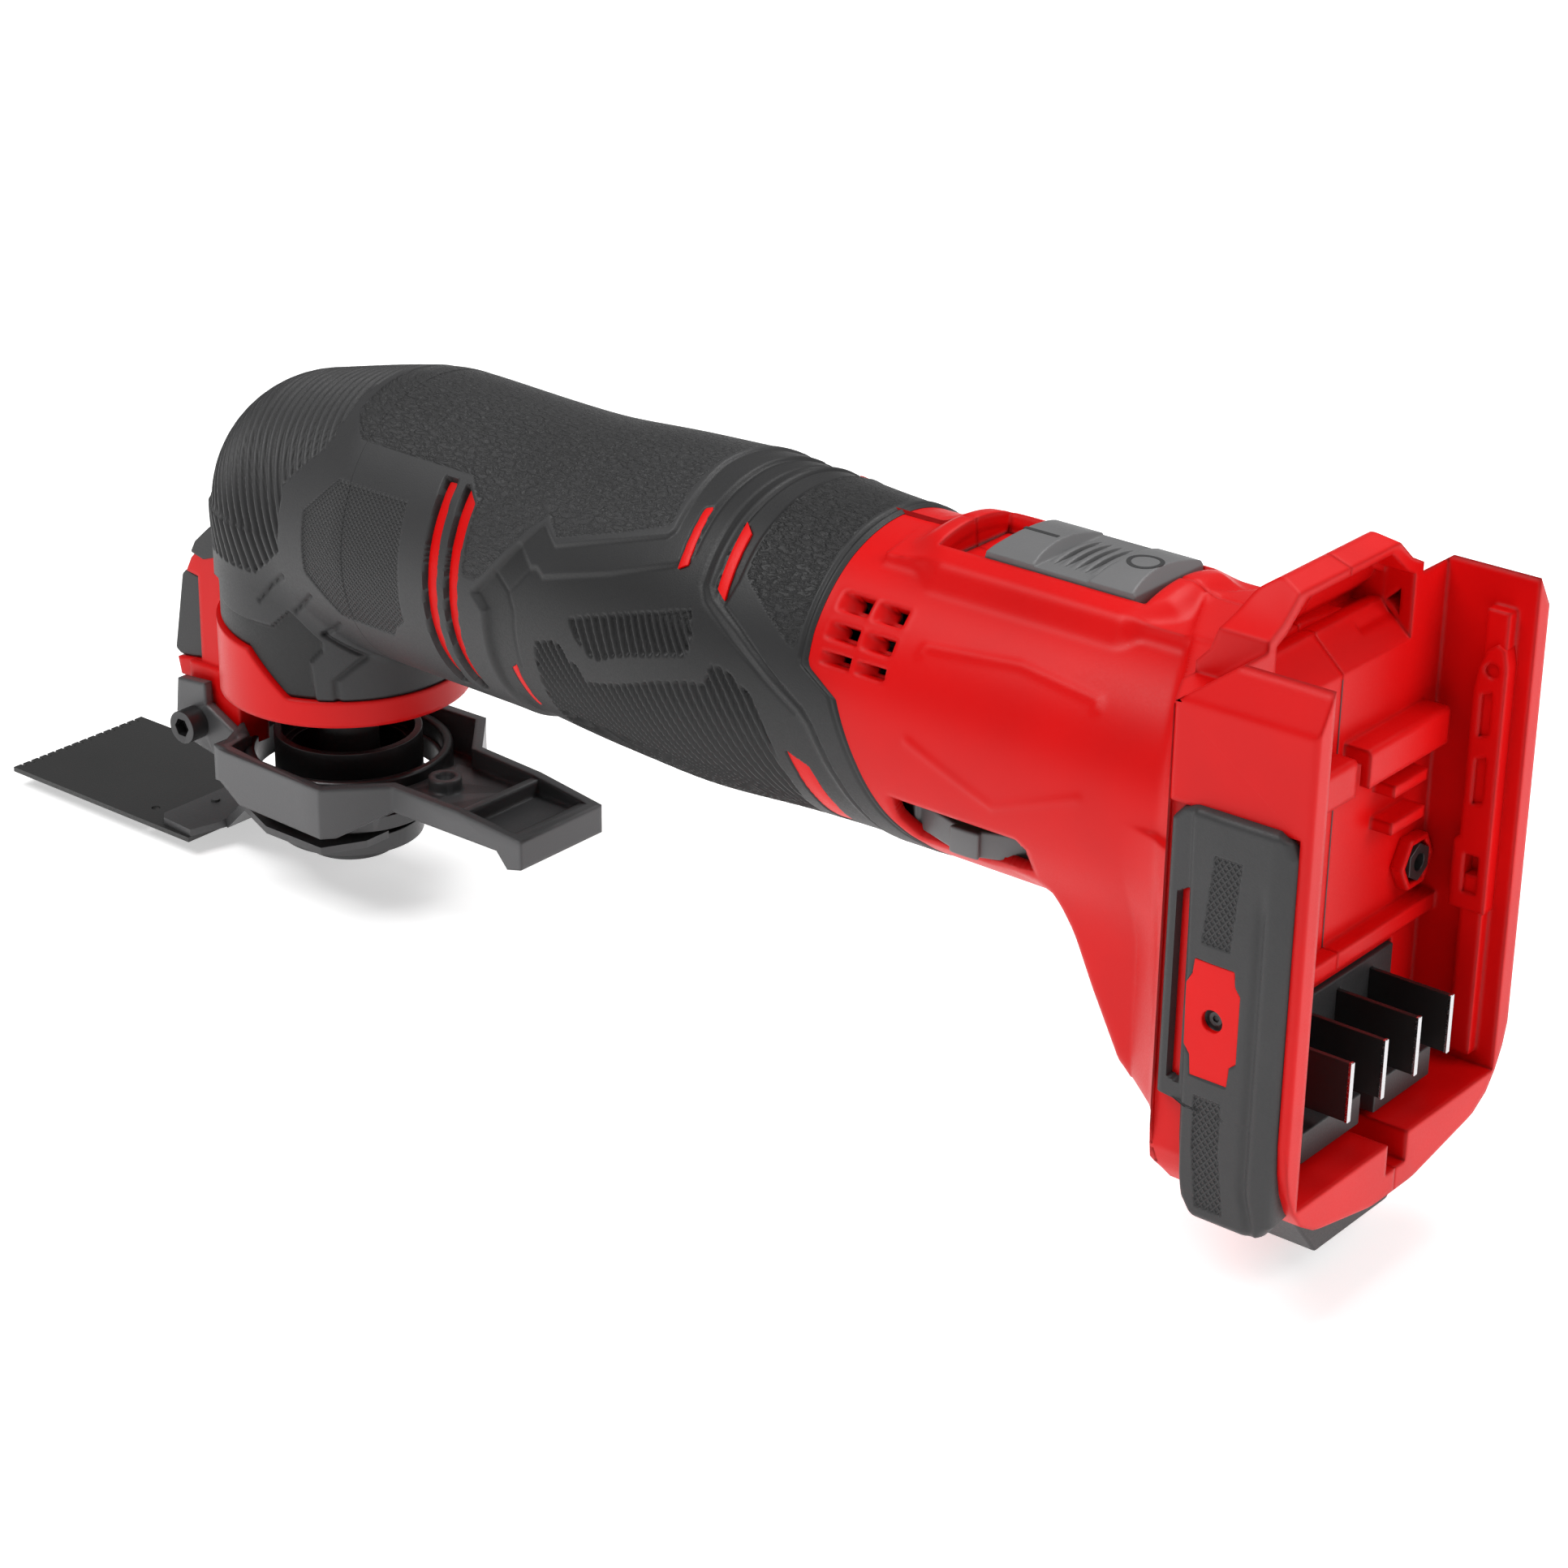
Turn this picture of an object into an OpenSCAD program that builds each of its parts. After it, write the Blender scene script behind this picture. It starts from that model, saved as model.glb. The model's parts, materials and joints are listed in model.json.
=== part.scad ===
// Cordless oscillating multi-tool, bare, with a flush-cut saw blade.
// Millimetres. +X points to the rear (battery foot), +Z up, -Y is the left side
// of the tool. The origin is the centre of the accessory seat under the spindle.

/* [Head] */
// Radius of the rubber covered barrel round the spindle
barrel_r = 24.2; // [23.8:0.1:24.6]
// Height of the collar's lower edge above the accessory seat
collar_z = 26; // [25.5:0.5:27]
// Height of the motor and grip axis above the accessory seat
axis_z = 65.2; // [65:0.1:65.5]

/* [Grip and body] */
// Radius of the housing tube inside the grip
tube_r = 26; // [25.8:0.1:26.2]
// Radius of the bare rear body
body_r = 27.3; // [27.1:0.1:27.6]
// Thickness of the housing walls
wall = 2.4; // [2.2:0.1:2.6]
// Length of the opening in the deck that the switch slides in
deck_slot = 40.4; // [40:0.2:41]

/* [Battery foot] */
// Rear face of the foot's rim
rim_x = 236; // [235:0.5:237]
// Front face of the foot
foot_x = 207; // [206.5:0.5:207.5]
// Half width of the foot
foot_half = 34; // [33.8:0.1:34.4]
// Rear face of the wall behind the battery
dock_x = 219.5; // [219:0.5:220]
// Distance between neighbouring terminals
terminal_pitch = 10.05; // [9.8:0.05:10.3]

/* [Blade and clamp] */
// Width of the saw blade
blade_w = 34.9; // [32:0.1:36]
// Distance from the spindle axis to the tips of the teeth
blade_reach = 81.2; // [76:0.2:84]
// Drop of the blade below its raised hub
blade_drop = 9; // [8.5:0.5:9.5]
// Number of teeth
tooth_count = 16; // [12:1:20]
// Radius of the tool holder cup
holder_r = 14.4; // [14.2:0.1:14.5]
// Radius of the clamp flange
flange_r = 14.2; // [13.8:0.1:14.4]
// Radius of the spindle
spindle_r = 6; // [5.9:0.1:6.1]

/* [Lever] */
// Distance from the spindle axis forward to the lever pivot
pivot_x = 25.2; // [25:0.1:25.6]
// Height of the lever pivot above the seat
pivot_z = 15.2; // [15:0.1:15.4]
// Half width of the lever's dish
dish_half = 22.9; // [22.7:0.1:23]
// Rear end of the lever's handle
lever_end_x = 56; // [52:0.5:58]

/* [Motor] */
// Radius of the motor can
can_r = 18; // [17.5:0.1:18.2]
// Throw of the eccentric
throw = 1.0; // [0.8:0.1:1.1]

/* [Hidden] */

$fn = 64;
eps = 0.01;
run = 0.04;              // radial running clearance of shafts
red = [0.85, 0.03, 0.03];
rubber = [0.17, 0.17, 0.17];
steel = [0.6, 0.6, 0.62];
grey = [0.45, 0.45, 0.45];

dome_r = 24.5;
dome_z = 63;
cover_t = 2.2;
grip_x0 = 26;            // front end of the grip covers
grip_x1 = 155;           // rear end of the grip covers
can_x0 = 62;
can_x1 = 116;
shaft_r = 2.5;
stem_r = 2.5;
screw_r = 1.5;
dial_x = 164;
dial_z0 = 47;
dial_z1 = 51.8;
dial_r = 20.8;
dial_lug_r = 22.4;
lever_floor_z = 4.4;
lever_top_z = 14.5;
bearing_off = 9.2;       // half gap between the fork's tines
bumper_x0 = 211;
bumper_x1 = 234;
rest_z = -7.3;           // lowest face of the foot pad
deck_r = 30.1;           // radius of the crowned deck about the motor axis

// Screws that hold the two housing halves, as [x, z]
screw_spots = [[139, 57.2], [153.6, 79], [199, 84], [192, 36], [213.2, 7.8], [213.2, 88]];

// ---------- helpers ----------

// Cylinder along X on the motor axis, moved by up
module round_x(x0, x1, r, up = 0) {
    translate([x0, 0, axis_z + up]) rotate([0, 90, 0]) cylinder(r = r, h = x1 - x0);
}

module ring_x(x0, x1, outer, inner, up = 0) {
    difference() {
        round_x(x0, x1, outer, up);
        round_x(x0 - 1, x1 + 1, inner, up);
    }
}

module round_z(z0, z1, r, x = 0, y = 0) {
    translate([x, y, z0]) cylinder(r = r, h = z1 - z0);
}

module ring_z(z0, z1, outer, inner, x = 0, y = 0) {
    difference() {
        round_z(z0, z1, outer, x, y);
        round_z(z0 - 1, z1 + 1, inner, x, y);
    }
}

// Cylinder along Y from y0 to y1
module round_y(x, z, y0, y1, r) {
    translate([x, y1, z]) rotate([90, 0, 0]) cylinder(r = r, h = y1 - y0);
}

// Side outline of [x, z] points, extruded to both sides
module side_plate(points, half_w) {
    rotate([90, 0, 0]) linear_extrude(height = 2 * half_w, center = true) polygon(points);
}

// Cross outline of [y, z] points, extruded from x0 to x1
module cross_plate(points, x0, x1) {
    translate([x0, 0, 0]) rotate([90, 0, 90]) linear_extrude(height = x1 - x0) polygon(points);
}

module block(x0, x1, y0, y1, z0, z1) {
    translate([x0, y0, z0]) cube([x1 - x0, y1 - y0, z1 - z0]);
}

// Outline given for y >= 0, closed by its mirror image
function both_sides(p) = concat(p, [for (i = [len(p) - 1:-1:0]) [-p[i][0], p[i][1]]]);

// Keeps the left (-1) or right (1) half of its children
module keep_side(side) {
    intersection() {
        children();
        block(-60, 260, side < 0 ? -60 : 0, side < 0 ? 0 : 60, -40, 130);
    }
}

// ---------- housing ----------

// Side outline of the bare red body, which the grip covers end at
red_side = [[134.5, 130], [134.5, 75], [135.5, 73.6], [142, 69.8], [144, 65.2], [146.5, 59.4], [150, 50],
            [152.8, 44.9], [156, 38], [156, 20], [foot_x + 3, 20], [foot_x + 3, 130]];

// Outline of the foot across the tool, inset by t
function foot_outline(t) = both_sides([[30 - t, 98.2 - t / 2], [foot_half - t, 92 - t], [foot_half - t, 24 + t / 2],
                                       [33.6 - t, 19 + t / 2], [32.6 - t, 15 + t / 2], [30.8 - t * 0.8, 11.2 + t * 0.8],
                                       [28.4 - t / 2, 8 + t], [24.6 - t / 2, 5.7 + t], [20, 4.2 + t], [9, 1.9 + t]]);

// Foot, inset by t, from x0 to x1
module foot_solid(t, x0, x1) {
    intersection() {
        cross_plate(foot_outline(t), x0, x1);
        side_plate([[x0, 91 - t], [x0, 16 + t], [x0 + 4, 10 + t], [x0 + 8, 0], [rim_x + 1, 0], [rim_x + 1, 99],
                    [221.5, 99], [foot_x + 4, 91 - t]], foot_half + 1);
        translate([0, 0, -20]) linear_extrude(height = 130)
            polygon([[x0, 26 - t], [foot_x + 4, foot_half - t], [rim_x + 1, foot_half - t],
                     [rim_x + 1, t - foot_half], [foot_x + 4, t - foot_half], [x0, t - 26]]);
    }
}

module hood_solid(t) {
    intersection() {
        cross_plate(both_sides([[12.8 - t / 2, 105.8 - t], [18.6 - t, 100.8 - t], [22.3 - t, 99 - t],
                                [22.3 - t, 84]]), 200, 230);
        side_plate([[205.8 + t, 84], [205.8 + t, 91.6], [209.3 + t, 95.4], [212.4 + t, 103.8 - t / 2],
                    [215.2 + t / 2, 105.8], [dock_x, 104.4], [220.2, 97], [220.2, 84]], 30);
    }
}

// Neck between the round body and the foot, inset by t
module neck_solid(t) {
    intersection() {
        side_plate([[164, 60], [foot_x + 3, 60], [foot_x + 3, 16.3 + t], [197.6 + t, 16.7 + t],
                    [195 + t, 18.8 + t], [183.5 + t, 39.8 + t / 2], [181 + t / 2, 45.4], [164, 52]], 40);
        translate([0, 0, 10]) linear_extrude(height = 60)
            polygon([[164, 17.5 - t], [198, 20.5 - t], [foot_x + 3, 30 - t],
                     [foot_x + 3, t - 30], [198, t - 20.5], [164, t - 17.5]]);
    }
}

// Raised deck round the switch, crowned about the motor axis
module deck_solid(t) {
    intersection() {
        round_x(140, foot_x + 2, deck_r - t);
        translate([0, 0, 70]) linear_extrude(height = 30)
            polygon([[146.2 + t, 7.5 - t], [152 + t, 13.4 - t], [187 - t, 13.4 - t], [192 - t, 7.5 - t],
                     [192 - t, t - 7.5], [187 - t, t - 13.4], [152 + t, t - 13.4], [146.2 + t, t - 7.5]]);
    }
    // slopes in front of it and behind it
    side_plate([[139.5 + t, 84], [148 + t, 90.6 - t], [196, 91.6 - t], [foot_x + 2, 91.6 - t], [foot_x + 2, 70],
                [139.5 + t, 70]], 13 - t);
}

module body_solid(t) {
    round_x(grip_x0 + 2, 158, tube_r - t);
    intersection() {
        round_x(130, foot_x + 2, body_r - t);
        if (t == 0) side_plate(red_side, 40);
        if (t > 0) round_x(145, foot_x + 3, body_r);
    }
    deck_solid(t);
    neck_solid(t);
}

// Space that takes the top of the battery, open to the rear and under the hood
module dock_cavity() {
    block(dock_x, rim_x + 1, -30, 30, 11.4, 120);
    intersection() {
        side_plate([[dock_x, 86.8], [214, 91.8], [214, 99], [216.4, 103.4], [225, 102.6], [225, 86.8]], 30);
        cross_plate(both_sides([[11.6, 103.6], [17.6, 98.8], [20, 97.6], [20, 84]]), 210, 226);
    }
}

module switch_well() {
    block(189.2 - deck_slot, 189.2, -10, 10, 90, 100);
    block(158, 180, -3.2, 3.2, 84, 91);
}

// Cooling slots in two columns of three on each side
module vents() {
    for (row = [0:2], col = [0:1]) block(136.9 + col * 7.3, 142.7 + col * 7.3, -40, 40,
                                         82.6 - row * 4.2, 85.2 - row * 4.3);
}

module dial_pocket() { round_z(dial_z0 - 0.8, dial_z1 + 0.8, dial_lug_r + 0.9, dial_x); }

// Side outline of the windows that the dial is turned through
dial_window = [[152, 54.2], [176.8, 54.2], [178, 52.3], [178, 48], [168, 46], [154, 46], [151.8, 50]];

// Bosses for the housing screws, from the wall to the middle
module screw_bosses() {
    for (s = screw_spots) round_y(s[0], s[1], -36, 36, 4.4);
}

module screw_holes(side) {
    for (s = screw_spots) {
        round_y(s[0], s[1], -9, 40, screw_r + 0.05);
        if (side > 0) round_y(s[0], s[1], 10, 40, 3.1);
    }
}

module dock_details(side) {
    // catch bar near the top of the dock and its two hooks
    block(dock_x - eps, 224.5, side < 0 ? -26 : 2, side < 0 ? -2 : 26, 72, 74.6);
    block(222.8, 224.5, side < 0 ? -26 : 2, side < 0 ? -2 : 26, 68.4, 72 + eps);
    block(dock_x - eps, 223.5, side < 0 ? -22 : 12, side < 0 ? -12 : 22, 63, 65);
    block(dock_x - eps, 223.5, side < 0 ? -22 : 12, side < 0 ? -12 : 22, 56.5, 58.5);
    // guide rail along the side wall
    block(228.5, 232.5, side < 0 ? -30.5 : 27.6, side < 0 ? -27.6 : 30.5, 14, 46);
    block(228.5, 232.5, side < 0 ? -30.5 : 27.6, side < 0 ? -27.6 : 30.5, 52, 92);
    // cross ledge above the terminals
    block(dock_x - eps, 222.5, side < 0 ? -30.5 : 0, side < 0 ? 0 : 30.5, 36.5, 40);
}

module housing_half(side) {
    keep_side(side) difference() {
        union() {
            difference() {
                union() {
                    body_solid(0);
                    foot_solid(0, foot_x, rim_x);
                    hood_solid(0);
                }
                difference() {
                    union() {
                        body_solid(wall);
                        foot_solid(wall, foot_x + wall, dock_x - wall);
                        hood_solid(wall);
                        block(foot_x - 2, foot_x + wall + 1, -18, 18, 20, 84);
                    }
                    // walls round the dock and the switch
                    block(dock_x - wall, 245, -60, 60, -40, 130);
                    block(146.4, 191.4, -12.2, 12.2, 87.6, 100);
                    intersection() {
                        screw_bosses();
                        union() {
                            body_solid(1);
                            foot_solid(1, foot_x + 1, rim_x);
                            hood_solid(1);
                        }
                    }
                }
                round_x(grip_x0, grip_x0 + 3, tube_r - wall);
            }
        }
        dock_cavity();
        switch_well();
        vents();
        screw_holes(side);
        dial_pocket();
        side_plate(dial_window, 40);
        // opening for the terminal block
        block(211.9, dock_x + 1, -22, 22, 12.4, 33.4);
        // notch in the rear lip
        block(225, rim_x + 1, -3, 3, 6, 12);
        // pockets for the bumpers
        for (s = [-1, 1]) block(bumper_x0 - 0.2, bumper_x1 + 0.2, s * foot_half - 1.2, s * foot_half + 1.2, 3, 75.2);
    }
    keep_side(side) difference() {
        intersection() {
            dock_details(side);
            block(200, rim_x, -31, 31, 0, 120);
        }
        round_y(226, 63, -60, 60, 1.0);
    }
}

module left_housing() { color(red) housing_half(-1); }
module right_housing() { color(red) housing_half(1); }

// ---------- head ----------

// Side outline of the rubber on the head; its lower edge rises towards the nose
cover_side = [[60, 31.2], [7.6, 31.2], [-1.5, 39.4], [-13, 40.2], [-30, 42], [-30, 100], [60, 100]];

nose_side = [
    [-10, 20], [-16.5, 18.8], [-22.6, 18.8], [-26.5, 18.8], [-26.7, 22], [-33.2, 22], [-34, 25.5],
    [-27, 26.5], [-27, 44], [-30.2, 44.4], [-28.6, 47.5], [-22.5, 54], [-10, 54]];

module head_shell() {
    color(red) difference() {
        union() {
            difference() {
                round_z(collar_z, 60, barrel_r);
                side_plate(cover_side, 40);
            }
            round_z(collar_z, 62, barrel_r - cover_t);
            side_plate(nose_side, 12.6);
            // cheeks that carry the lever screws
            block(-29.5, -15.8, -13.6, 13.6, 11, 26.2);
        }
        round_z(collar_z + 2.4, 63, 19.5);
        round_z(collar_z - 1, collar_z + 4, 15.2);
        round_y(-pivot_x, pivot_z, -20, 20, 2);
        // room for the lamp and the lever spring
        block(-24, -15, -6, 6, 8, 30);
        block(-30, -17.9, -9.4, 9.4, 8, 19.6);
        // inner grip side of the barrel
        round_x(10, 40, 23.6);
    }
}

module dome(t) {
    hull() {
        translate([0.5, 0, dome_z]) sphere(r = dome_r - t, $fn = 48);
        round_x(grip_x0 - 1, grip_x0, 27.4 - t, $fn = 48);
    }
}

module head_cover() {
    color(rubber) difference() {
        union() {
            dome(0);
            intersection() {
                round_z(31, dome_z, barrel_r);
                side_plate(cover_side, 40);
            }
        }
        dome(cover_t);
        round_z(30, dome_z, barrel_r - cover_t);
        round_x(grip_x0 - 2, grip_x0 + 1, 27.4 - cover_t);
        side_plate(nose_side, 12.6);
    }
}

// Outer profile of the grip covers along the axis, as [x, radius]
grip_profile = [[26, 27.4], [45, 27.6], [64, 27.8], [81, 29.2], [94, 29.8], [104, 30.3],
                [113, 29.8], [125, 28.8], [140, 28.2], [155, 28.0]];

module grip_cover(side) {
    keep_side(side) difference() {
        translate([0, 0, axis_z]) rotate([0, 90, 0]) rotate_extrude($fn = 96)
            polygon(concat([for (p = grip_profile) [p[1], p[0]]], [[tube_r, grip_x1], [tube_r, grip_x0]]));
        side_plate(red_side, 40);
        screw_holes(side);
        dial_pocket();
    }
}

module left_grip_cover() { color(rubber) grip_cover(-1); }
module right_grip_cover() { color(rubber) grip_cover(1); }

module nose_pad() {
    color(rubber) side_plate([[-27, 26.6], [-33.6, 25.6], [-35.4, 27], [-32.4, 43.2], [-30.8, 44.3], [-27, 43.9]], 12);
}

module lamp_board() {
    color("seagreen") block(-23.4, -15.6, -5.4, 5.4, 22.6, 24);
}

module lamp_lens() {
    color([0.9, 0.95, 1.0, 0.5]) round_z(19.8, 22.6, 3.6, -19.5);
}

// ---------- gearcase ----------

module gearcase() {
    color("silver") difference() {
        union() {
            round_z(29, 72, 18.5);
            round_z(71, 81, 12.5);
            round_x(12, 58, 21);
        }
        round_z(41, 71.5, 15.5);
        round_z(31, 42, 14);
        round_z(28, 32, 11);
        round_z(73, 82, 10.5);
        round_z(70, 74, 8);
        round_x(0, 59, 17.5);
        for (s = [-1, 1]) round_x_at(54, 59, s * 19.2, 0, 1.1);
    }
}

// Cylinder along X at y and axis height plus up
module round_x_at(x0, x1, y, up, r) {
    translate([x0, y, axis_z + up]) rotate([0, 90, 0]) cylinder(r = r, h = x1 - x0, $fn = 32);
}

module gearcase_screws() {
    color(steel) for (s = [-1, 1]) {
        round_x_at(54.2, 60, s * 19.2, 0, 1.05);
        round_x_at(60, 61.6, s * 19.2, 0, 2.2);
    }
}

module lower_bearing() { color(steel) ring_z(32, 40, 14, spindle_r + run); }
module upper_bearing() { color(steel) ring_z(74, 79, 10.5, spindle_r + run); }

// ---------- motor ----------

module motor_can() {
    color("dimgray") difference() {
        round_x(can_x0, can_x1, can_r);
        round_x(can_x0 + 1.6, can_x1 + 1, can_r - 1.5);
        round_x(can_x0 - 1, can_x0 + 3, 6.5);
    }
}

module motor_magnets() {
    color([0.25, 0.25, 0.27]) difference() {
        ring_x(can_x0 + 6, can_x1 - 8, can_r - 1.5, 14.4);
        for (s = [-1, 1]) block(can_x0, can_x1, s * 10 - 4, s * 10 + 4, axis_z + 10.5, axis_z + 20);
        block(can_x0, can_x1, -14.2, 14.2, axis_z + 10, axis_z + 20);
        block(can_x0, can_x1, -14.2, 14.2, axis_z - 20, axis_z - 10);
    }
}

module motor_end_cap() {
    color([0.15, 0.15, 0.15]) {
        difference() {
            round_x(can_x1, 124, can_r);
            round_x(can_x1 - 1, 120, 13);
            round_x(119, 125, 6.5);
        }
        for (s = [-1, 1]) block(114.6, 121, min(s * 7, s * 12), max(s * 7, s * 12), axis_z - 3.5, axis_z + 3.5);
    }
}

module carbon_brushes() {
    color([0.2, 0.2, 0.22])
        for (s = [-1, 1]) block(108.6, 114.6, min(s * 5.45, s * 12), max(s * 5.45, s * 12), axis_z - 3, axis_z + 3);
}

module motor_front_bearing() { color(steel) ring_x(60, 64.5, 6.5, shaft_r + run); }
module motor_rear_bearing() { color(steel) ring_x(120, 124, 6.5, shaft_r + run); }

module rotor_shaft() { color(steel) round_x(44, 134, shaft_r); }

module armature() {
    color([0.45, 0.3, 0.2]) difference() {
        round_x(can_x0 + 5, can_x1 - 10, 13.8);
        round_x(can_x0, can_x1, shaft_r);
        for (i = [0:8]) translate([0, 0, axis_z]) rotate([i * 40, 0, 0])
            block(can_x0, can_x1, -1, 1, 9, 15);
    }
}

module commutator() { color([0.72, 0.45, 0.2]) ring_x(107.5, 115.5, 5.1, shaft_r); }

module cooling_fan() {
    color([0.2, 0.2, 0.22]) difference() {
        union() {
            round_x(126, 134, 6);
            round_x(126, 127.6, 19);
            for (i = [0:10]) translate([0, 0, axis_z]) rotate([i * 360 / 11, 0, 0])
                block(127, 134, -0.7, 0.7, 5, 19);
        }
        round_x(125, 135, shaft_r);
    }
}

module counterweight() {
    color("goldenrod") difference() {
        union() {
            round_x(45, 55, 5);
            intersection() {
                round_x(49, 55, 11);
                block(40, 60, -12, 12, axis_z - 12, axis_z);
            }
        }
        round_x(44, 56, shaft_r);
    }
}

module eccentric_pin() { color(steel) round_x(36.5, 44, 3, throw); }
module eccentric_bearing() { color(steel) ring_x(37, 43, 6.5, 3, throw); }

// ---------- spindle and clamp ----------

module spindle() {
    color([0.2, 0.2, 0.2]) difference() {
        round_z(0, 80, spindle_r);
        round_z(-1, 81, stem_r + 0.06);
        round_z(42, 81, 4);
    }
}

module swing_fork() {
    color("silver") difference() {
        union() {
            round_z(60, 70, 11);
            for (s = [-1, 1])
                block(0, 46, min(s * bearing_off, s * 12.2), max(s * bearing_off, s * 12.2), 62, 69);
            block(6, 18, -12.2, 12.2, 62, 69);
        }
        round_z(59, 71, spindle_r);
    }
}

module tool_holder() {
    color([0.25, 0.25, 0.25]) difference() {
        union() {
            ring_z(0, 16.3, holder_r, 12.9);
            ring_z(5, 12.5, 12.95, 11.3);
            round_z(0, 6, 13);
            ring_z(5, 8, 7.8, spindle_r);
            round_z(0.8, 3.8, 17.2);
        }
        round_z(-1, 20, spindle_r);
        for (a = [45:90:315]) rotate([0, 0, a]) round_z(-1, 2.2, 1.7, 10.2);
    }
}

module clamp_stem() {
    color(steel) {
        round_z(-8, 77, stem_r);
        round_z(60, 63, 3.94);
    }
}

module clamp_spring() {
    color("dimgray") for (i = [0:7])
        translate([0, 0, 43 + i * 2.2]) rotate_extrude($fn = 32) translate([3.1, 0]) circle(r = 0.4, $fn = 14);
    color("dimgray") block(2.8, 3.4, -0.3, 0.3, 42.2, 59.6);
}

module clamp_flange() {
    color([0.3, 0.3, 0.3]) difference() {
        union() {
            round_z(-5.3, -1.5, flange_r);
            round_z(-8.6, -5.2, 8.9);
            for (a = [45:90:315]) rotate([0, 0, a]) round_z(-2, 1.4, 1.4, 10.2);
        }
        round_z(-10, 0, stem_r);
    }
}

// ---------- blade ----------

module blade() {
    pitch = blade_w / tooth_count;
    color([0.2, 0.2, 0.2]) difference() {
        block(-blade_reach, -28.5, -blade_w / 2, blade_w / 2, -blade_drop - 2.5, -blade_drop - 1.5);
        for (i = [1:tooth_count - 1])
            block(-blade_reach - 1, -blade_reach + 1.5, -blade_w / 2 + i * pitch - 0.25,
                  -blade_w / 2 + i * pitch + 0.25, -20, 0);
        for (x = [-44, -35], s = [-1, 1])
            round_z(-20, 0, 0.9, x, s * (x < -40 ? 12 : 4));
    }
}

// Plan outline of the shank, from the blade to the open end of its hub
module shank_outline() {
    polygon([[-38.5, -14.6], [-36.9, -16.2], [-28.6, -16.8], [-26.5, -9], [-15, -14.5], [-4, -19],
             [11, -19], [15.3, -11], [15.3, 11], [11, 19], [-4, 19], [-15, 14.5],
             [-26.5, 9], [-28.6, 16.8], [-36.9, 16.2], [-38.5, 14.6]]);
}

// Bent from the blade's level up to the hub's level
module blade_shank() {
    color([0.28, 0.28, 0.28]) difference() {
        intersection() {
            translate([0, 0, -20]) linear_extrude(height = 30) shank_outline();
            side_plate([[-40, -blade_drop - 1.5], [-26, -blade_drop - 1.5], [-14.8, -1.5], [20, -1.5],
                        [20, 0], [-15.8, 0], [-27, -blade_drop], [-40, -blade_drop]], 20);
        }
        round_z(-4, 1, 6.2);
        block(0, 20, -5, 5, -4, 1);
        for (a = [45:90:315]) rotate([0, 0, a]) round_z(-4, 1, 1.6, 10.2);
        for (x = [-35], s = [-1, 1]) round_z(-20, -5, 0.9, x, s * 4);
    }
}

module shank_rivets() {
    color(grey) for (s = [-1, 1]) {
        round_z(-blade_drop - 2.5, -blade_drop + 0.5, 0.9, -35, s * 4);
    }
}

// ---------- release lever ----------

lever_plan = [[-13.4, 21.9], [15.1, 22.9], [24, 12.4], [56, 11.2], [56, -11.2], [24, -12.4],
              [15.1, -22.9], [-13.4, -21.9], [-15, -14.4], [-15, 14.4]];

// Side outline of the lever: dish in front, handle behind
lever_side = [[-15, 17], [-13.4, 14.5], [15.1, 14.6], [40, 13.9], [56, 12.1], [56, 6.4], [52.6, 5.6],
              [50, 8.7], [24, 9.2], [17, lever_floor_z], [-8, lever_floor_z], [-15, 9]];

module lever_inner(t) {
    offset(delta = -t) polygon(lever_plan);
}

module release_lever() {
    color(grey) difference() {
        union() {
            intersection() {
                linear_extrude(height = 30) polygon(lever_plan);
                side_plate(lever_side, 30);
            }
            for (s = [-1, 1]) difference() {
                rotate([90, 0, 0]) translate([0, 0, s * 15.4 - 1])
                    linear_extrude(height = 2)
                    polygon([[-30, 23.2], [-22.5, 23.9], [-22.4, 19.5], [-17.5, 17.1], [-12.6, 14.8],
                             [-12.6, 7.5], [-20.9, 9.5], [-27, 10.7], [-30.8, 16]]);
            }
            for (s = [-1, 1]) block(-15, -11, min(s * 14.4, s * 21.5), max(s * 14.4, s * 21.5), 7.6, 15);
        }
        // inside of the dish and handle, open to the top
        translate([0, 0, 6.4]) linear_extrude(height = 20) lever_inner(2);
        // hole round the tool holder
        round_z(0, 12, 17.8, -0.4);
        // the front of the dish is open between the ears
        block(-16, -10, -13.4, 13.4, 0, 20);
        // handle is ribbed and open below
        block(27, 40, -9.4, 9.4, 9.9, 20);
        for (s = [-1, 1]) round_y(-pivot_x, pivot_z, s * 15.4 - 3, s * 15.4 + 3, 2.2 + run);
    }
    // ring boss, floor and cross walls of the handle
    color(grey) {
        difference() {
            union() {
                block(19.6, 54.6, -10.2, 10.2, 9.25, 10.4);
                ring_z(5, 9, 19.3, 17.8, -0.4);
                ring_z(9.3, 13, 3.2, 1.9, 26);
            }
            round_z(5, 20, 1.9, 26);
            block(-30, -8, -30, 30, 0, 20);
        }
        block(39.5, 41.3, -10.3, 10.3, 10, 13.4);
        block(52.2, 54.5, -10.3, 10.3, 10, 12);
    }
}

module lever_screws() {
    color([0.12, 0.12, 0.12]) for (s = [-1, 1]) difference() {
        union() {
            round_y(-pivot_x, pivot_z, min(s * 16.5, s * 20.4), max(s * 16.5, s * 20.4), 3.3);
            round_y(-pivot_x, pivot_z, min(s * 13.6, s * 16.6), max(s * 13.6, s * 16.6), 2.2);
            round_y(-pivot_x, pivot_z, min(s * 9.8, s * 13.7), max(s * 9.8, s * 13.7), 2);
        }
        translate([-pivot_x, s * 20.4, pivot_z]) rotate([90, 0, 0])
            cylinder(r = 1.9, h = 4.4, center = true, $fn = 6);
    }
}

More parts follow.
